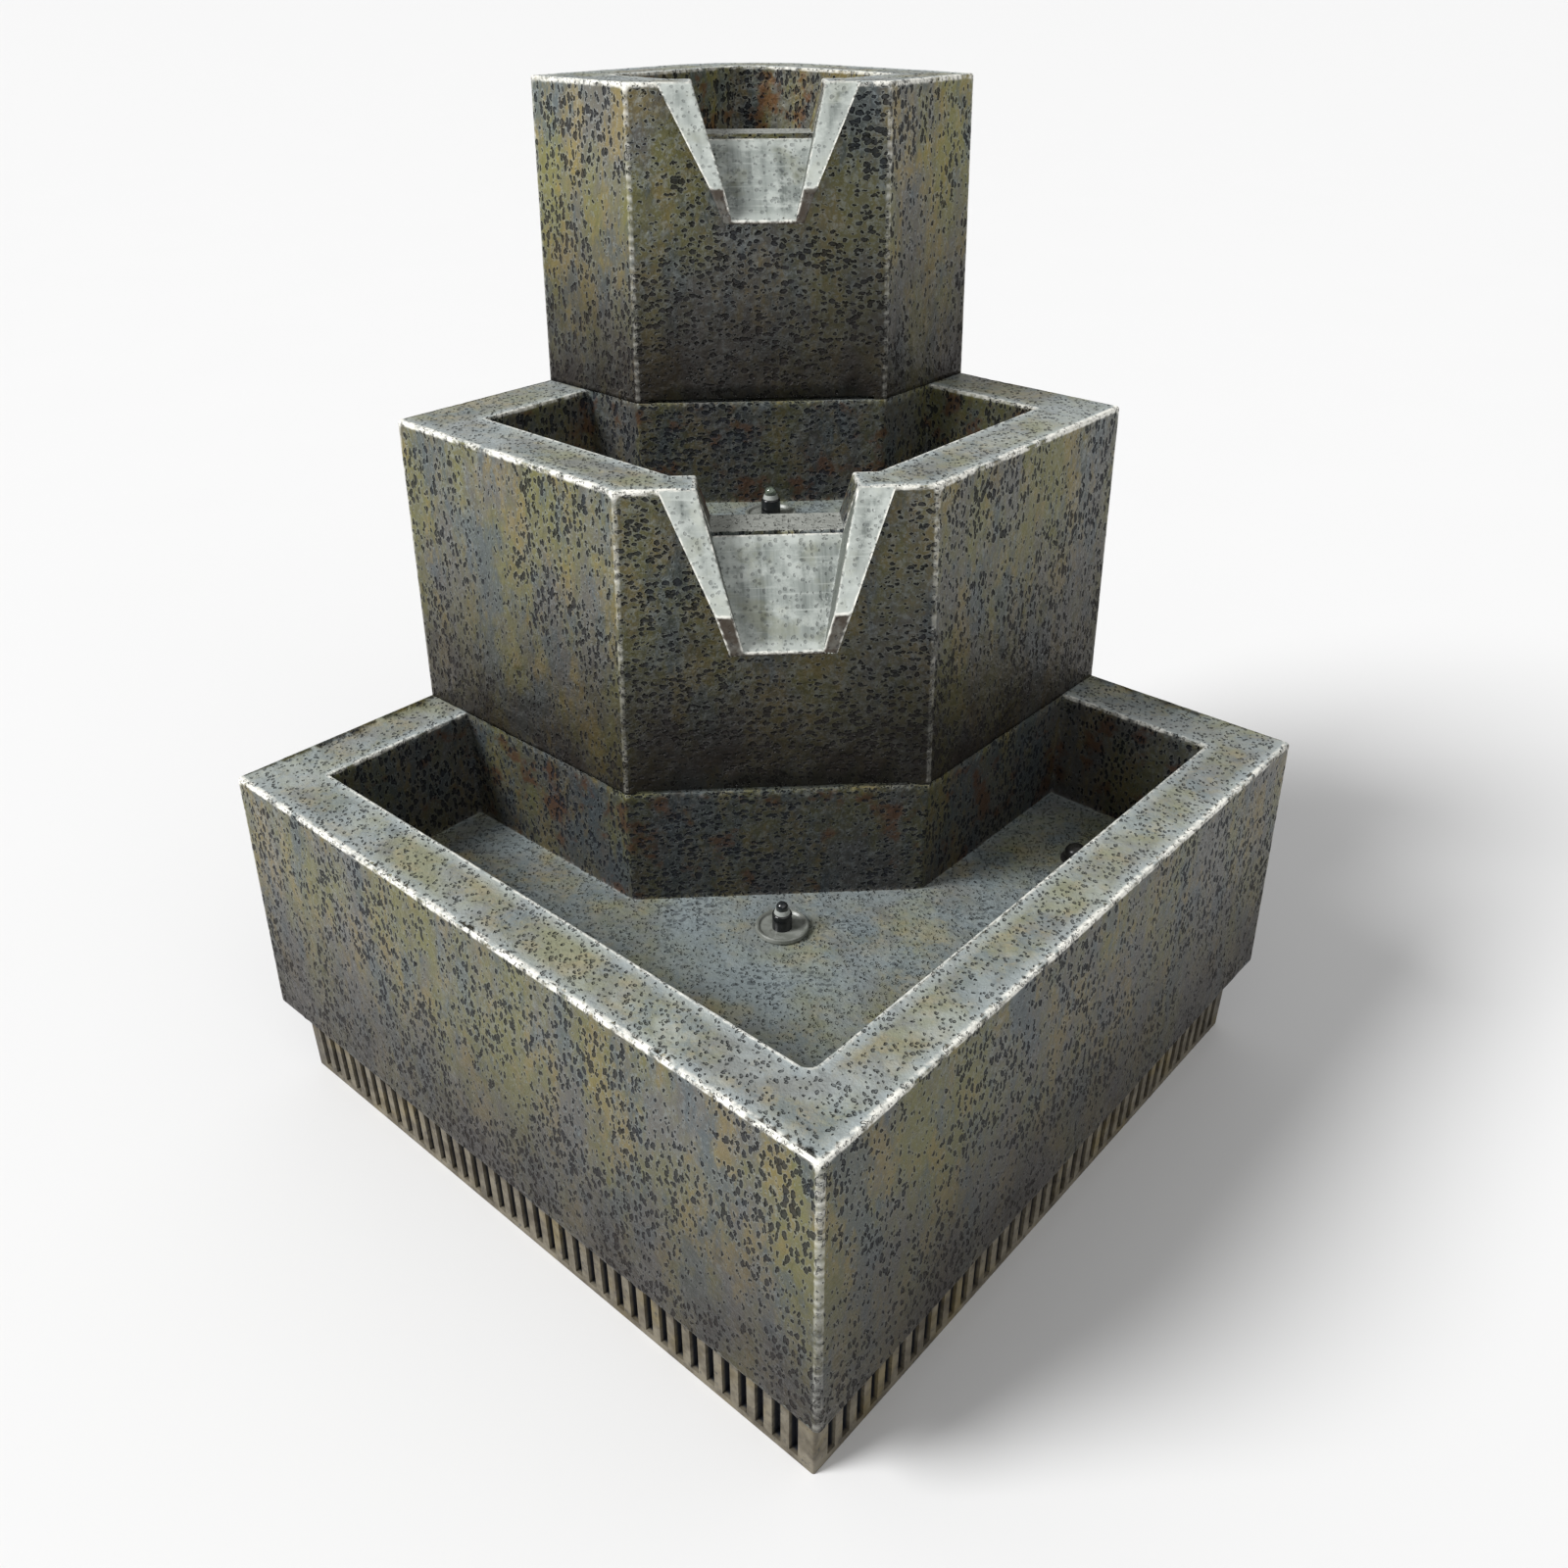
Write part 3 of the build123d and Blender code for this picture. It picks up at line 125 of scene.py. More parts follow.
# ---------------------------------------------------------------- castings with real relief
def welded(node):
    """The CAD node's mesh with its seams joined."""
    mesh = bmesh.new()
    mesh.from_mesh(frame["nodes"][node].data)
    bmesh.ops.remove_doubles(mesh, verts=mesh.verts, dist=0.02 * MM)
    bmesh.ops.triangulate(mesh, faces=mesh.faces)
    return mesh


def outline_points(mesh, spacing, keep):
    """Points along the outward edges that the brush has caught: none facing down or back."""
    found = []
    for edge in mesh.edges:
        if len(edge.link_faces) != 2 or edge.calc_face_angle_signed() < radians(3):
            continue
        facing = sum((face.normal for face in edge.link_faces), Vector())
        if facing.z < -0.3 or facing.y > 1.2:
            continue
        a, b = (vertex.co for vertex in edge.verts)
        if not keep((a + b) / 2):
            continue
        count = max(1, int((b - a).length / spacing))
        found += [a.lerp(b, (k + 0.5) / count) for k in range(count)]
    tree = KDTree(len(found))
    for index, point in enumerate(found):
        tree.insert(point, index)
    tree.balance()
    return tree


def subdivide(mesh, fine, coarse, seen):
    """Splits long edges until they suit the fine cell where the casting is seen."""
    for face in mesh.faces:
        face.material_index = int(seen(face.calc_center_median(), face.normal))
    limit = max(edge.calc_length() for edge in mesh.edges) / 2
    while limit > fine / 2:
        goal = (max(limit, coarse), max(limit, fine))
        wanted = [e for e in mesh.edges
                  if e.calc_length() > goal[max(f.material_index for f in e.link_faces)]]
        if wanted:
            bmesh.ops.subdivide_edges(mesh, edges=wanted, cuts=1)
            bmesh.ops.triangulate(mesh, faces=[f for f in mesh.faces if len(f.verts) > 3])
        limit /= 2
    flat = [e for e in mesh.edges if len(e.link_faces) == 2 and e.calc_face_angle() < 0.001]
    bmesh.ops.beautify_fill(mesh, faces=mesh.faces, edges=flat)
    for face in mesh.faces:
        face.material_index = 0


def enclosed(places, tier):
    """1 for the places inside a tier's outer faces, and 1 for those below its rim."""
    low, high = tier
    reach = np.abs(places[:, 0]) + BACK_Y - places[:, 1]
    inside = (reach < 2 * high.x - 50 * MM) & (places[:, 1] > low.y + 20 * MM)
    return inside.astype(float), (places[:, 2] < high.z - 5 * MM).astype(float)


def relief(node, body, cell_fine, cell_coarse, seen, depth, wear_keep, tier=None):
    """Stand-in for a casting: the CAD shape with hammered pits pressed into it."""
    mesh = welded(node)
    edges = outline_points(mesh, 3 * MM, wear_keep)
    subdivide(mesh, cell_fine, cell_coarse, seen)
    mesh.normal_update()
    mesh.verts.ensure_lookup_table()
    places = np.array([v.co for v in mesh.verts])
    normals = np.array([v.normal for v in mesh.verts])
    near_edge = np.array([edges.find(v.co)[2] for v in mesh.verts])
    dent, pit = depth(places, normals)
    dent = dent * np.clip(0.15 + near_edge / (9 * MM), 0, 1)
    moved = places - normals * dent[:, None]
    inside = np.zeros(len(places))
    if tier is not None:
        inside, below_rim = enclosed(places, tier)
        near_edge = near_edge + 1.6 * MM * inside + 2.2 * MM * below_rim
        inside = inside * below_rim
    for vertex, place in zip(mesh.verts, moved):
        vertex.co = place
    data = bpy.data.meshes.new(node + "_relief")
    mesh.to_mesh(data)
    mesh.free()
    for name, values in (("pit", pit), ("edge", near_edge), ("inside", inside)):
        layer = data.attributes.new(name, "FLOAT", "POINT")
        layer.data.foreach_set("value", values.astype(np.float32))
    data.shade_smooth()
    piece = bpy.data.objects.new(node + "_relief", data)
    bpy.context.scene.collection.objects.link(piece)
    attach(piece, body)
    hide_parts(node)
    return piece


BACK_SMOOTHNESS = 0.7


def hammered(ripple):
    """Depth and pit mask of the hammered finish; ripple is where the strokes run level."""

    def depth(places, normals):
        level = ripple(normals)
        waves = soft_noise(places, 45 * MM, 1) * 0.9 + soft_noise(places, 16 * MM, 2) * 0.7
        small = pits(places, 9 * MM, (1, 1, 0.8), 3, 0.62)
        wide = pits(places, 15 * MM, (1, 1, 0.42), 13, 0.7)
        patchy = 0.35 + 0.65 * soft_noise(places, 60 * MM, 5)
        pit = np.maximum(small * (1 - 0.55 * level), wide * level) * patchy
        smooth = BACK_SMOOTHNESS * np.clip(normals[:, 1] * 3, 0, 1)
        dent = (waves * 0.7 + pit * 2.2) * (1 - 0.85 * smooth) * MM
        return dent, pit * (1 - smooth)

    return depth


def nose_ripple(normals):
    """Level hammer strokes on the flat noses."""
    return np.clip((-normals[:, 1] - 0.85) / 0.1, 0, 1)


def no_ripple(normals):
    """No level strokes anywhere."""
    return np.zeros(len(normals))


# ---------------------------------------------------------------- material tools
class Nodes:
    """Short calls for building one material's node tree."""

    def __init__(self, name):
        self.material = bpy.data.materials.new(name)
        self.material.use_nodes = True
        self.tree = self.material.node_tree
        self.shader = self.tree.nodes["Principled BSDF"]
        coordinates = self.tree.nodes.new("ShaderNodeTexCoord")
        self.place = coordinates.outputs["Object"]

    def link(self, value, socket):
        if isinstance(value, bpy.types.NodeSocket):
            self.tree.links.new(value, socket)
        elif isinstance(value, tuple) and socket.type == "RGBA":
            socket.default_value = (*value, 1)
        else:
            socket.default_value = value

    def stretched(self, scale, where=None):
        node = self.tree.nodes.new("ShaderNodeMapping")
        node.inputs["Scale"].default_value = scale
        self.link(where or self.place, node.inputs["Vector"])
        return node.outputs["Vector"]

    def wandering(self, reach, scale):
        """The place, pushed about by up to reach, so that patterns lose their regular shapes."""
        noise = self.tree.nodes.new("ShaderNodeTexNoise")
        self.link(self.place, noise.inputs["Vector"])
        noise.inputs["Scale"].default_value = scale
        noise.inputs["Detail"].default_value = 2
        centred = self.vector_maths("SUBTRACT", noise.outputs["Color"], (0.5, 0.5, 0.5))
        pushed = self.vector_maths("SCALE", centred, reach * 2)
        return self.vector_maths("ADD", self.place, pushed)

    def vector_maths(self, operation, a, b):
        node = self.tree.nodes.new("ShaderNodeVectorMath")
        node.operation = operation
        self.link(a, node.inputs[0])
        self.link(b, node.inputs["Scale" if operation == "SCALE" else 1])
        return node.outputs["Vector"]

    def noise(self, scale, detail=3.0, rough=0.55, where=None):
        node = self.tree.nodes.new("ShaderNodeTexNoise")
        self.link(where or self.place, node.inputs["Vector"])
        node.inputs["Scale"].default_value = scale
        node.inputs["Detail"].default_value = detail
        node.inputs["Roughness"].default_value = rough
        return node.outputs["Fac"]

    def cells(self, scale, where):
        """Distance from the middle of the nearest cell, and a number from 0 to 1 for each cell."""
        node = self.tree.nodes.new("ShaderNodeTexVoronoi")
        self.link(where, node.inputs["Vector"])
        node.inputs["Scale"].default_value = scale
        return node.outputs["Distance"], self.separated(node.outputs["Color"])[0]

    def attribute(self, name):
        node = self.tree.nodes.new("ShaderNodeAttribute")
        node.attribute_name = name
        return node.outputs["Fac"]

    def separated(self, vector):
        node = self.tree.nodes.new("ShaderNodeSeparateXYZ")
        self.link(vector, node.inputs["Vector"])
        return node.outputs["X"], node.outputs["Y"], node.outputs["Z"]

    def height(self):
        """Height above the floor."""
        return self.separated(self.place)[2]

    def facing(self):
        """The surface normal's three shares."""
        geometry = self.tree.nodes.new("ShaderNodeNewGeometry")
        return self.separated(geometry.outputs["Normal"])

    def span(self, value, low, high, out_low=0.0, out_high=1.0):
        """A smooth step from out_low at low to out_high at high; low may be the larger."""
        node = self.tree.nodes.new("ShaderNodeMapRange")
        node.interpolation_type = "SMOOTHSTEP"
        for name, number in (("Value", value), ("From Min", low), ("From Max", high),
                             ("To Min", out_low), ("To Max", out_high)):
            self.link(number, node.inputs[name])
        return node.outputs["Result"]

    def maths(self, operation, a, b=0.0):
        node = self.tree.nodes.new("ShaderNodeMath")
        node.operation = operation
        self.link(a, node.inputs[0])
        self.link(b, node.inputs[1])
        return node.outputs["Value"]

    def mixed_value(self, share, a, b):
        node = self.tree.nodes.new("ShaderNodeMix")
        node.data_type = "FLOAT"
        self.link(share, node.inputs["Factor"])
        self.link(a, node.inputs["A"])
        self.link(b, node.inputs["B"])
        return node.outputs["Result"]

    def times(self, a, b):
        return self.maths("MULTIPLY", a, b)

    def most(self, a, b):
        return self.maths("MAXIMUM", a, b)

    def mix(self, share, a, b):
        node = self.tree.nodes.new("ShaderNodeMix")
        node.data_type = "RGBA"
        self.link(share, node.inputs["Factor"])
        self.link(a, node.inputs["A"])
        self.link(b, node.inputs["B"])
        return node.outputs["Result"]

    def bump(self, height, strength, distance, normal=None):
        node = self.tree.nodes.new("ShaderNodeBump")
        node.inputs["Strength"].default_value = strength
        node.inputs["Distance"].default_value = distance
        self.link(height, node.inputs["Height"])
        if normal is not None:
            self.link(normal, node.inputs["Normal"])
        return node.outputs["Normal"]

    def finish(self, colour, rough, normal=None, metallic=0.0):
        self.link(colour, self.shader.inputs["Base Color"])
        self.link(rough, self.shader.inputs["Roughness"])
        if normal is not None:
            self.link(normal, self.shader.inputs["Normal"])
        self.shader.inputs["Metallic"].default_value = metallic
        return self.material


def dress(piece, material):
    """Gives a piece this material alone."""
    piece.data.materials.clear()
    piece.data.materials.append(material)


# ---------------------------------------------------------------- colours, linear
TAUPE = (0.142, 0.136, 0.116)
OLIVE = (0.185, 0.176, 0.060)
OCHRE = (0.275, 0.205, 0.060)
BLUE_GREY = (0.085, 0.115, 0.128)
SLATE = (0.210, 0.250, 0.262)
SILL_GREY = (0.300, 0.310, 0.285)
RUST = (0.160, 0.070, 0.022)
# Black of the pits, also the colour of the painted shade on the castings
PIT_AND_SHADE_BLACK = (0.008, 0.011, 0.018)
FOOT_DARK = (0.016, 0.012, 0.010)
SILVER = (0.390, 0.435, 0.440)
CREAM = (0.860, 0.850, 0.780)


def hollows(n, scale, stretch, size, where):
    """Eroded hollows about 1 / scale apart: 1 in them, 1 on their lips, and their relief."""
    away, chance = n.cells(scale, n.stretched(stretch, where))
    reach = n.times(size, n.span(chance, -0.4, 0.9))
    depth = n.maths("SUBTRACT", reach, away)
    lip = n.times(n.span(depth, -0.20, -0.10), n.span(depth, 0.00, -0.06))
    return n.span(depth, -0.04, 0.06), lip, n.span(depth, 0.14, -0.05)


def erosion(n, wander, nose, up, floor):
    """Pits, their lips and their relief: upright on the sides, level on the noses."""
    crowded = n.span(n.noise(13, 4, 0.6), 0.36, 0.58, 0.26, 0.54)
    upright, upright_lip, upright_rise = hollows(n, 225, (1.0, 1.0, 0.50), crowded, wander)
    strokes, stroke_lip, stroke_rise = hollows(n, 215, (0.58, 1.0, 1.05), crowded, wander)
    flecks, fleck_lip, fleck_rise = hollows(n, 240, (1.0, 0.8, 1.0), 0.38, wander)
    wrinkled = n.span(n.noise(16, 3, 0.6), 0.46, 0.60)
    pit = n.mixed_value(up, n.mixed_value(nose, upright, strokes), flecks)
    pit = n.mixed_value(floor, pit, n.times(strokes, wrinkled))
    pit = n.most(pit, n.times(n.span(n.attribute("pit"), 0.15, 0.60), 0.30))
    lip = n.mixed_value(up, n.mixed_value(nose, upright_lip, stroke_lip), fleck_lip)
    carved = n.mixed_value(up, n.mixed_value(nose, upright_rise, stroke_rise), fleck_rise)
    return pit, lip, carved


def stains(n, streaked, nose, floor):
    """Taupe ground with olive, ochre and blue-grey clouds, slate-coloured on the floors; painted
    shade on the noses.
    """
    warm = n.span(n.noise(24, 5, 0.75, streaked), 0.48, 0.62)
    green = n.span(n.noise(13, 5, 0.7, streaked), 0.40, 0.62)
    cool = n.span(n.noise(20, 5, 0.75, streaked), 0.50, 0.62)
    silted = n.times(floor, n.span(n.noise(8, 4, 0.65), 0.35, 0.65, 0.15, 0.90))
    colour = n.mix(green, TAUPE, OLIVE)
    colour = n.mix(n.times(warm, 0.62), colour, OCHRE)
    colour = n.mix(n.times(cool, 0.70), colour, BLUE_GREY)
    # Painted shade: the front-facing noses darkened towards black
    colour = n.mix(n.times(nose, 0.30), colour, PIT_AND_SHADE_BLACK)
    return n.mix(silted, colour, SLATE)


def casting(name, z_foot, z_rim, shade, wall_shade=0.0, z_sill=None, edged=True):
    """Aged bronze paint on an eroded casting: black pits, ochre stains, silvery dry brushing.

    shade darkens the upright faces and wall_shade the walls inside the tier. z_sill is the
    level of a spout's sill, and edged says that the piece carries its distance to an edge.
    """
    n = Nodes(name)
    _, normal_y, normal_z = n.facing()
    up = n.span(normal_z, 0.6, 0.9)
    nose = n.span(normal_y, -0.90, -0.97)
    level = n.height()
    tall = z_rim - z_foot
    floor = n.times(up, n.span(level, z_rim - 30 * MM, z_rim - 40 * MM))
    not_floor = n.span(floor, 1, 0)
    edge_near = n.attribute("edge") if edged else FAR_FROM_EDGE
    wander = n.wandering(0.0028, 190)
    streaked = n.stretched((1.0, 1.0, 0.45))
    pit, lip, carved = erosion(n, wander, nose, up, floor)
    colour = stains(n, streaked, nose, floor)

    # Silvery dry brushing: more towards the rim, along it; on the noses and pit lips also a
    # painted highlight
    bristle = n.span(n.noise(150, 4, 0.7, wander), 0.46, 0.66)
    streaks = n.span(n.noise(11, 4, 0.6, streaked), 0.40, 0.70)
    high_up = n.span(level, z_foot + 0.35 * tall, z_rim, 0.10, 0.45)
    # On the noses, silver flecks that are dry brushing and a painted highlight
    light = n.most(n.times(high_up, streaks), n.times(nose, 0.35))
    light = n.most(n.times(bristle, light), n.times(up, n.span(streaks, 0, 1, 0.28, 0.68)))
    near_rim = n.times(n.span(edge_near, 26 * MM, 2 * MM), n.times(up, 0.78))
    # Painted highlight on the lips of the pits, over dry brushing
    light = n.most(n.most(light, near_rim), n.times(lip, 0.30))
    light = n.times(light, n.span(floor, 0, 1, 1.0, 0.30))
    colour = n.mix(light, colour, SILVER)

    # Rust on the walls inside; painted shade on the walls inside and on the upright faces; black
    # in the pits
    walls = n.times(n.attribute("inside"), not_floor)
    rust = n.times(walls, n.span(n.noise(30, 4, 0.65), 0.52, 0.64, 0.0, 0.8))
    sides = n.span(up, 1, 0, 0.0, shade)
    colour = n.mix(rust, colour, RUST)
    # Painted shade: the upright faces darkened by the shade amount, the walls inside by wall_shade
    colour = n.mix(n.most(sides, n.times(walls, wall_shade)), colour, PIT_AND_SHADE_BLACK)
    colour = n.mix(n.times(pit, n.span(up, 0, 1, 0.80, 0.55)), colour, PIT_AND_SHADE_BLACK)

    # Brown-black towards the foot
    low_down = n.times(n.span(level, z_foot + 0.85 * tall, z_foot), not_floor)
    low_down = n.times(low_down, n.span(n.noise(14, 4, 0.6), 0.25, 0.75, 0.70, 1.0))
    colour = n.mix(low_down, colour, FOOT_DARK)
    if z_sill is not None:
        off_sill = n.maths("ABSOLUTE", n.maths("SUBTRACT", level, z_sill))
        colour = n.mix(n.times(up, n.span(off_sill, 5 * MM, 3 * MM)), colour, SILL_GREY)

    # Pale, broken line along the edges
    rub = n.span(n.noise(60, 5, 0.7), 0.36, 0.56)
    edge = n.times(n.span(edge_near, 4.4 * MM, 0.8 * MM), rub)
    high_edge = n.span(level, z_foot + 0.1 * tall, z_rim, 0.40, 1.0)
    colour = n.mix(n.times(edge, high_edge), colour, CREAM)

    grain = n.noise(420, 3, 0.6)
    rough = n.mixed_value(pit, n.span(grain, 0.2, 0.8, 0.28, 0.48), 0.70)
    normal = n.bump(n.noise(55, 4, 0.6, wander), 0.8, 5.0 * MM)
    normal = n.bump(carved, 1.0, 6.0 * MM, normal)
    normal = n.bump(grain, 0.35, 0.5 * MM, normal)
    n.shader.inputs["Specular IOR Level"].default_value = 0.25
    return n.finish(colour, rough, normal)


def front_seen(place, normal):
    """Faces that carry the full relief: all but the back faces and the hidden undersides."""
    return normal.z > -0.5 and normal.y < 0.5


def from_corner(place):
    """Distance from the back corner, measured along the two back faces and added up."""
    return abs(place.x) + BACK_Y - place.y


def low_seen(place, normal):
    outside = from_corner(place) > LOW_OUTSIDE
    water = place.z > LOW_FLOOR - MM
    well = MID_TIER[0].y < place.y and from_corner(place) < LOW_PEDESTAL
    return front_seen(place, normal) and (outside or (water and not well))


def mid_seen(place, normal):
    hidden = place.z < MID_FLOOR - MM and from_corner(place) < MID_CAVITY
    return front_seen(place, normal) and not hidden


def top_seen(place, normal):
    hidden = place.z < TOP_BOWL_FLOOR and from_corner(place) < TOP_CAVITY
    return front_seen(place, normal) and not hidden


def brushed(z_foot, z_rim, upper_tier=None):
    """Keeps the edges that a brush reaches: not the foot, nor those under the tier above."""

    def keep(place):
        if place.z < z_foot + 10 * MM:
            return False
        if upper_tier is None or place.z < z_rim - 2 * MM:
            return True
        low, high = upper_tier
        beyond_sides = from_corner(place) > 2 * high.x + 6 * MM
        return beyond_sides or place.y < low.y - 6 * MM

    return keep


LOW_RELIEF = relief("lower_basin", "root", CELL_LOW, CELL_HIDDEN, low_seen,
                    hammered(no_ripple), brushed(Z_PLINTH, Z_LOW, MID_TIER), LOW_TIER)
MID_RELIEF = relief("middle_tier", "middle", CELL_MID, CELL_HIDDEN, mid_seen,
                    hammered(nose_ripple), brushed(Z_LOW, Z_MID, TOP_TIER), MID_TIER)
TOP_RELIEF = relief("top_bowl", "top", CELL_TOP, CELL_HIDDEN, top_seen,
                    hammered(nose_ripple), brushed(Z_MID, Z_TOP), TOP_TIER)
dress(LOW_RELIEF, casting("lower_casting", Z_PLINTH, Z_LOW, 0.36, 0.60))
dress(MID_RELIEF, casting("middle_casting", Z_LOW, Z_MID, 0.24, 0.55, MID_SILL))
dress(TOP_RELIEF, casting("top_casting", Z_MID, Z_TOP, 0.02, 0.10, TOP_SILL))


# ---------------------------------------------------------------- spouts
PEWTER = (0.290, 0.318, 0.298)
PEWTER_LIGHT = (0.530, 0.565, 0.530)
PEWTER_DARK = (0.130, 0.148, 0.138)
INNER_GREEN = (0.075, 0.084, 0.070)
BRONZE = (0.050, 0.035, 0.022)


def spout_paint(name):
    """Pewter chute with run marks, pale cheek tops, and bronze-brown flanks and ends."""
    n = Nodes(name)
    normal_x, normal_y, normal_z = n.facing()
    runs = n.span(n.noise(75, 4, 0.65, n.stretched((1.0, 0.05, 0.05))), 0.34, 0.62)
    scratches = n.span(n.noise(160, 4, 0.7, n.stretched((0.05, 1.0, 1.0))), 0.54, 0.68)
    blots = n.span(n.noise(26, 4, 0.65), 0.50, 0.68)
    colour = n.mix(runs, PEWTER_DARK, PEWTER)
    colour = n.mix(n.span(n.noise(40, 5, 0.7), 0.46, 0.64, 0.0, 0.60), colour, PEWTER_LIGHT)
    colour = n.mix(n.times(scratches, 0.45), colour, PEWTER_LIGHT)
    colour = n.mix(n.times(blots, 0.28), colour, OLIVE)
    edge_near = n.attribute("edge")
    colour = n.mix(n.span(edge_near, 14 * MM, 5 * MM, 0.0, 0.45), colour, PEWTER_LIGHT)

    sideways = n.span(n.maths("ABSOLUTE", normal_x), 0.35, 0.60)
    inner = n.times(sideways, n.span(normal_z, -0.05, 0.15))
    colour = n.mix(n.times(inner, 0.85), colour, INNER_GREEN)
    sideways = n.maths("SUBTRACT", sideways, inner)
    ends = n.times(n.span(normal_y, -0.80, -0.95), n.span(normal_z, 0.35, 0.15))
    under = n.span(normal_z, 0.05, -0.2)
    brown = n.most(n.most(sideways, ends), under)
    brown = n.times(brown, n.span(n.noise(48, 4, 0.65), 0.25, 0.55, 0.65, 1.0))
    colour = n.mix(brown, colour, BRONZE)

    wander = n.wandering(0.003, 110)
    specks = hollows(n, 190, (1.0, 1.0, 1.0), 0.36, wander)[0]
    colour = n.mix(n.times(specks, 0.35), colour, PIT_AND_SHADE_BLACK)
    rub = n.span(n.noise(85, 4, 0.65), 0.34, 0.52)
    edge = n.times(n.span(edge_near, 2.6 * MM, 0.5 * MM), rub)
    colour = n.mix(n.times(edge, 0.9), colour, CREAM)
    rough = n.span(runs, 0, 1, 0.34, 0.52)
    rise = n.maths("SUBTRACT", n.times(n.noise(70, 4, 0.6), 0.6), specks)
    normal = n.bump(rise, 0.8, 0.8 * MM)
    normal = n.bump(scratches, 0.25, 0.3 * MM, normal)
    return n.finish(colour, rough, normal)


def worn(amount):
    """Gentle unevenness of a smooth casting, up to about this many millimetres."""

    def depth(places, normals):
        waves = soft_noise(places, 22 * MM, 4) + 0.5 * soft_noise(places, 9 * MM, 6)
        return waves * amount * MM, np.zeros(len(places))

    return depth


def everywhere(place, normal=None):
    """Every place counts: the whole spout is seen, and all its edges are brushed."""
    return True


for name, body in (("middle_spout", "middle"), ("top_spout", "top")):
    spout = relief(name, body, CELL_SPOUT, CELL_SPOUT, everywhere, worn(0.5), everywhere)
    dress(spout, spout_paint(name + "_paint"))


# ---------------------------------------------------------------- plinth
RIB = (0.090, 0.075, 0.050)
RIB_LIGHT = (0.210, 0.185, 0.135)


def plinth_paint():
    """Ochre-grey ribs, brushed at their faces, over near-black grooves."""
    n = Nodes("plinth_paint")
    low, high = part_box("fluted_plinth")
    face = BACK_Y - low.y + 5 * MM * (ROOT2 - 1) / 2
    x, y, z = n.separated(n.place)
    out = n.maths("SUBTRACT", n.maths("ABSOLUTE", x), y)
    rib = n.span(out, face - BACK_Y - 7 * MM, face - BACK_Y - 2.5 * MM)
    colour = n.mix(n.span(n.noise(40, 4, 0.65), 0.35, 0.65), RIB, RIB_LIGHT)
    colour = n.mix(n.times(n.span(n.noise(16, 3), 0.5, 0.7), 0.5), colour, OCHRE)
    worn_away = n.times(n.span(n.noise(150, 4, 0.7), 0.55, 0.70), 0.7)
    colour = n.mix(worn_away, colour, PIT_AND_SHADE_BLACK)
    shade = n.span(z, Z_PLINTH - 2 * MM, Z_PLINTH - 45 * MM, 0.80, 0.15)
    colour = n.mix(shade, colour, FOOT_DARK)
    plain = n.span(y, BACK_Y - 0.60, BACK_Y - 0.50)
    colour = n.mix(n.most(n.times(plain, 0.75), n.maths("SUBTRACT", 1.0, rib)), colour, PIT_AND_SHADE_BLACK)
    normal = n.bump(n.noise(190, 4, 0.65), 0.5, 0.8 * MM)
    return n.finish(colour, n.span(n.noise(60), 0.3, 0.7, 0.60, 0.85), normal)


dress(frame["nodes"]["fluted_plinth"], plinth_paint())


# ---------------------------------------------------------------- fittings
def moulded(name, colour, rough, grain_size=0.6 * MM, depth=0.06):
    """Moulded plastic or rubber: a slightly uneven colour over a fine grain."""
    n = Nodes(name)
    pale = tuple(min(1, c * 1.6 + 0.006) for c in colour)
    tone = n.mix(n.span(n.noise(35, 3), 0.35, 0.75, 0.0, 0.6), colour, pale)
    dust = n.span(n.facing()[2], 0.5, 1.0, 0.0, 0.25)
    tone = n.mix(n.times(dust, n.noise(90, 3)), tone, TAUPE)
    normal = n.bump(n.noise(1 / grain_size, 2), depth, 0.2 * MM)
    return n.finish(tone, n.span(n.noise(60, 3), 0.3, 0.7, rough * 0.85, rough * 1.1), normal)


def saucer_paint():
    """Cloudy translucent saucer with a tide mark."""
    n = Nodes("saucer_paint")
    tone = n.mix(n.span(n.noise(80, 4), 0.35, 0.65), (0.165, 0.175, 0.155), (0.250, 0.262, 0.240))
    tone = n.mix(n.span(n.noise(240, 3), 0.55, 0.70, 0.0, 0.5), tone, (0.100, 0.104, 0.085))
    n.shader.inputs["Subsurface Weight"].default_value = 0.15
    n.shader.inputs["Subsurface Radius"].default_value = (0.004, 0.004, 0.004)
    normal = n.bump(n.noise(200, 2), 0.08, 0.2 * MM)
    return n.finish(tone, n.span(n.noise(60), 0.3, 0.7, 0.22, 0.40), normal)


def metal(name, colour, rough, stretch):
    """Drawn or turned metal with fine lines."""
    n = Nodes(name)
    lines = n.noise(900, 2, 0.5, n.stretched(stretch))
    tone = n.mix(n.span(lines, 0.3, 0.7), tuple(c * 0.8 for c in colour), colour)
    return n.finish(tone, n.span(lines, 0.2, 0.8, rough * 0.8, rough * 1.2),
                    n.bump(lines, 0.15, 0.05 * MM), metallic=1.0)


def lens_glass(name, colour, transmission):
    """Domed lens: dark or greenish clear, wet-looking."""
    n = Nodes(name)
    n.shader.inputs["IOR"].default_value = 1.5
    n.shader.inputs["Transmission Weight"].default_value = transmission
    n.shader.inputs["Coat Weight"].default_value = 0.6
    tone = n.mix(n.span(n.noise(300, 2), 0.3, 0.7, 0, 0.3), colour, (0.02, 0.025, 0.02))
    normal = n.bump(n.noise(260, 1), 0.03, 0.1 * MM)
    return n.finish(tone, n.span(n.noise(90), 0.3, 0.7, 0.04, 0.10), normal)


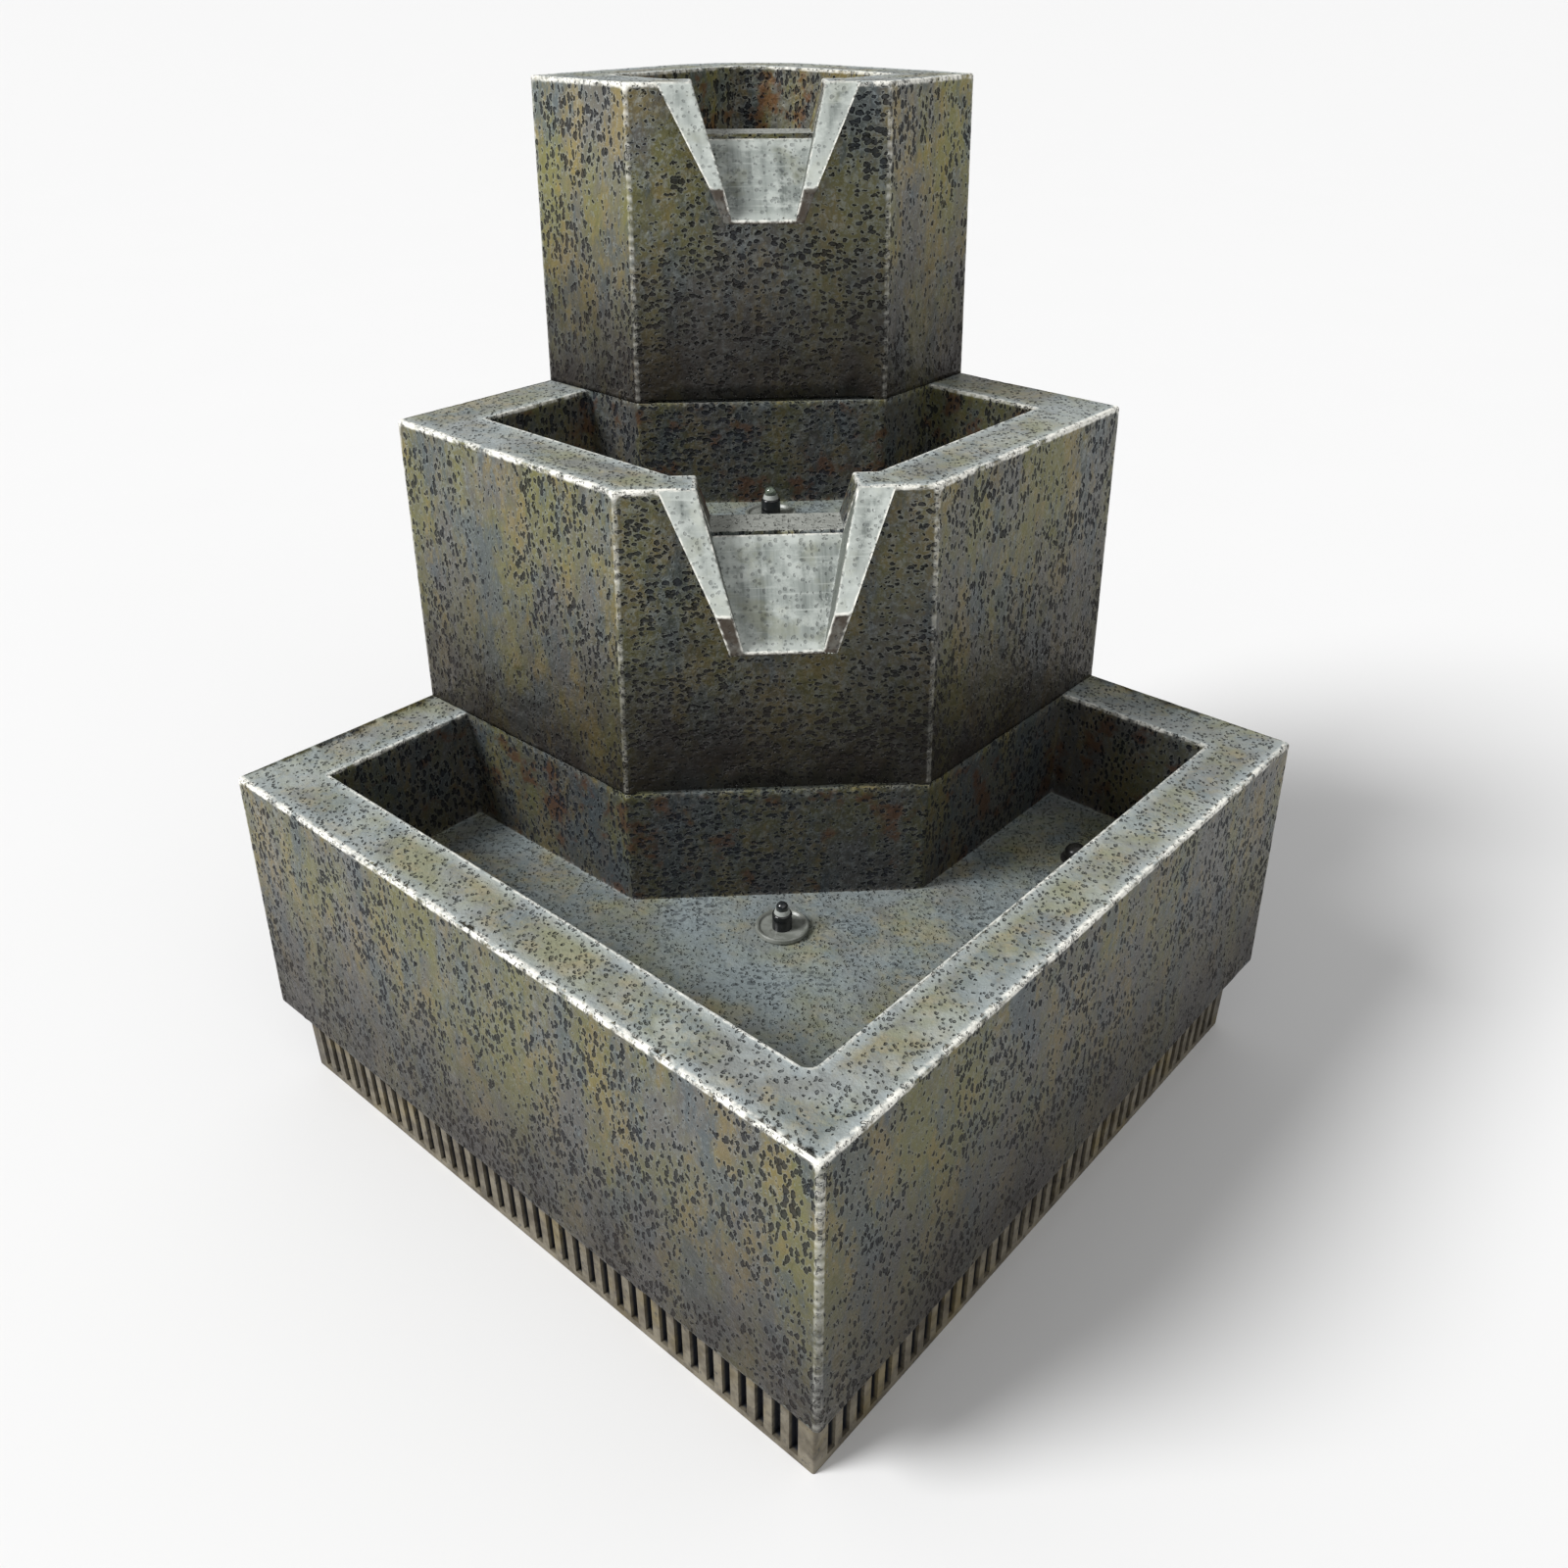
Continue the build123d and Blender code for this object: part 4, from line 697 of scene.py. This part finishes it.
FINISHES = {
    "lamp_saucer": saucer_paint(),
    "lamp_can": moulded("lamp_can_paint", (0.006, 0.007, 0.008), 0.14, depth=0.02),
    "lamp_frost": moulded("lamp_frost_paint", (0.36, 0.38, 0.36), 0.35),
    "black_fittings": moulded("fitting_paint", (0.012, 0.012, 0.013), 0.45),
    "strainer_plastic": moulded("strainer_paint", (0.018, 0.020, 0.018), 0.42),
    "rubber": moulded("rubber_paint", (0.010, 0.010, 0.010), 0.30),
    "pipe": moulded("pipe_paint", (0.38, 0.39, 0.38), 0.38),
    "pump_case": moulded("pump_paint", (0.016, 0.017, 0.020), 0.40),
    "pump_moving": moulded("rotor_paint", (0.025, 0.060, 0.200), 0.38),
    "steel": metal("steel_paint", (0.55, 0.55, 0.54), 0.30, (1, 1, 0.1)),
    "brass": metal("brass_paint", (0.62, 0.44, 0.19), 0.32, (1, 1, 0.1)),
}
FINISHES_BY_NODE = {
    "lower_lamp_lens": lens_glass("dark_lens", (0.03, 0.035, 0.04), 0.4),
    "middle_lamp_lens": lens_glass("clear_lens", (0.42, 0.50, 0.40), 0.8),
}
DRESSED = {
    "lower_basin",
    "middle_tier",
    "top_bowl",
    "middle_spout",
    "top_spout",
    "fluted_plinth",
    "rear_cover",
}
for entry in frame["record"]["subparts"]:
    node = entry["node"]
    if node not in DRESSED:
        dress(frame["nodes"][node], FINISHES_BY_NODE.get(node) or FINISHES[entry["material_slot"]])
COVER = frame["nodes"]["rear_cover"]
dress(COVER, casting("cover_casting", Z_LOW, Z_MID, 0.24, edged=False))
COVER_ARRIS = COVER.modifiers.new("worn_edges", "BEVEL")
COVER_ARRIS.width = 0.8 * MM
COVER_ARRIS.segments = 2
COVER_ARRIS.limit_method = "ANGLE"
COVER_ARRIS.angle_limit = radians(35)


# ---------------------------------------------------------------- stage
def stage():
    """Pale floor and soft studio lights."""
    floor_data = bpy.data.meshes.new("studio_floor")
    half = 400
    corners = [(-half, -half, 0), (half, -half, 0), (half, half, 0), (-half, half, 0)]
    floor_data.from_pydata(corners, [], [(0, 1, 2, 3)])
    floor = bpy.data.objects.new("studio_floor", floor_data)
    floor.location.z = -0.5 * MM
    bpy.context.scene.collection.objects.link(floor)
    n = Nodes("floor_paint")
    dress(floor, n.finish((0.80, 0.80, 0.80), n.span(n.noise(3), 0, 1, 0.75, 0.85)))

    world = bpy.data.worlds.new("studio")
    world.use_nodes = True
    world.node_tree.nodes["Background"].inputs["Color"].default_value = (1, 1, 1, 1)
    world.node_tree.nodes["Background"].inputs["Strength"].default_value = 0.42
    bpy.context.scene.world = world
    bpy.context.scene.view_settings.view_transform = "Standard"

    def sun(name, towards, strength, spread):
        data = bpy.data.lights.new(name, "SUN")
        data.energy = strength
        data.angle = radians(spread)
        light = bpy.data.objects.new(name, data)
        light.rotation_euler = Vector(towards).to_track_quat("Z", "Y").to_euler()
        bpy.context.scene.collection.objects.link(light)

    sun("key", (-0.80, -0.18, 0.72), 3.4, 24)
    sun("fill", (0.35, -0.80, 0.60), 0.45, 60)


def camera():
    """The view from a standing person's eye, a little left of the middle line."""
    yaw, pitch = radians(3.665), radians(31.84)
    data = bpy.data.cameras.new("view")
    data.lens = 30.56
    data.sensor_width = 36
    data.clip_end = 100
    eye = bpy.data.objects.new("view", data)
    eye.location = (-65.2 * MM, BACK_Y - 1699.1 * MM, 1069.2 * MM)
    ahead = Vector((sin(yaw) * cos(pitch), cos(yaw) * cos(pitch), -sin(pitch)))
    eye.rotation_euler = ahead.to_track_quat("-Z", "Y").to_euler()
    bpy.context.scene.collection.objects.link(eye)
    bpy.context.scene.camera = eye


stage()
camera()
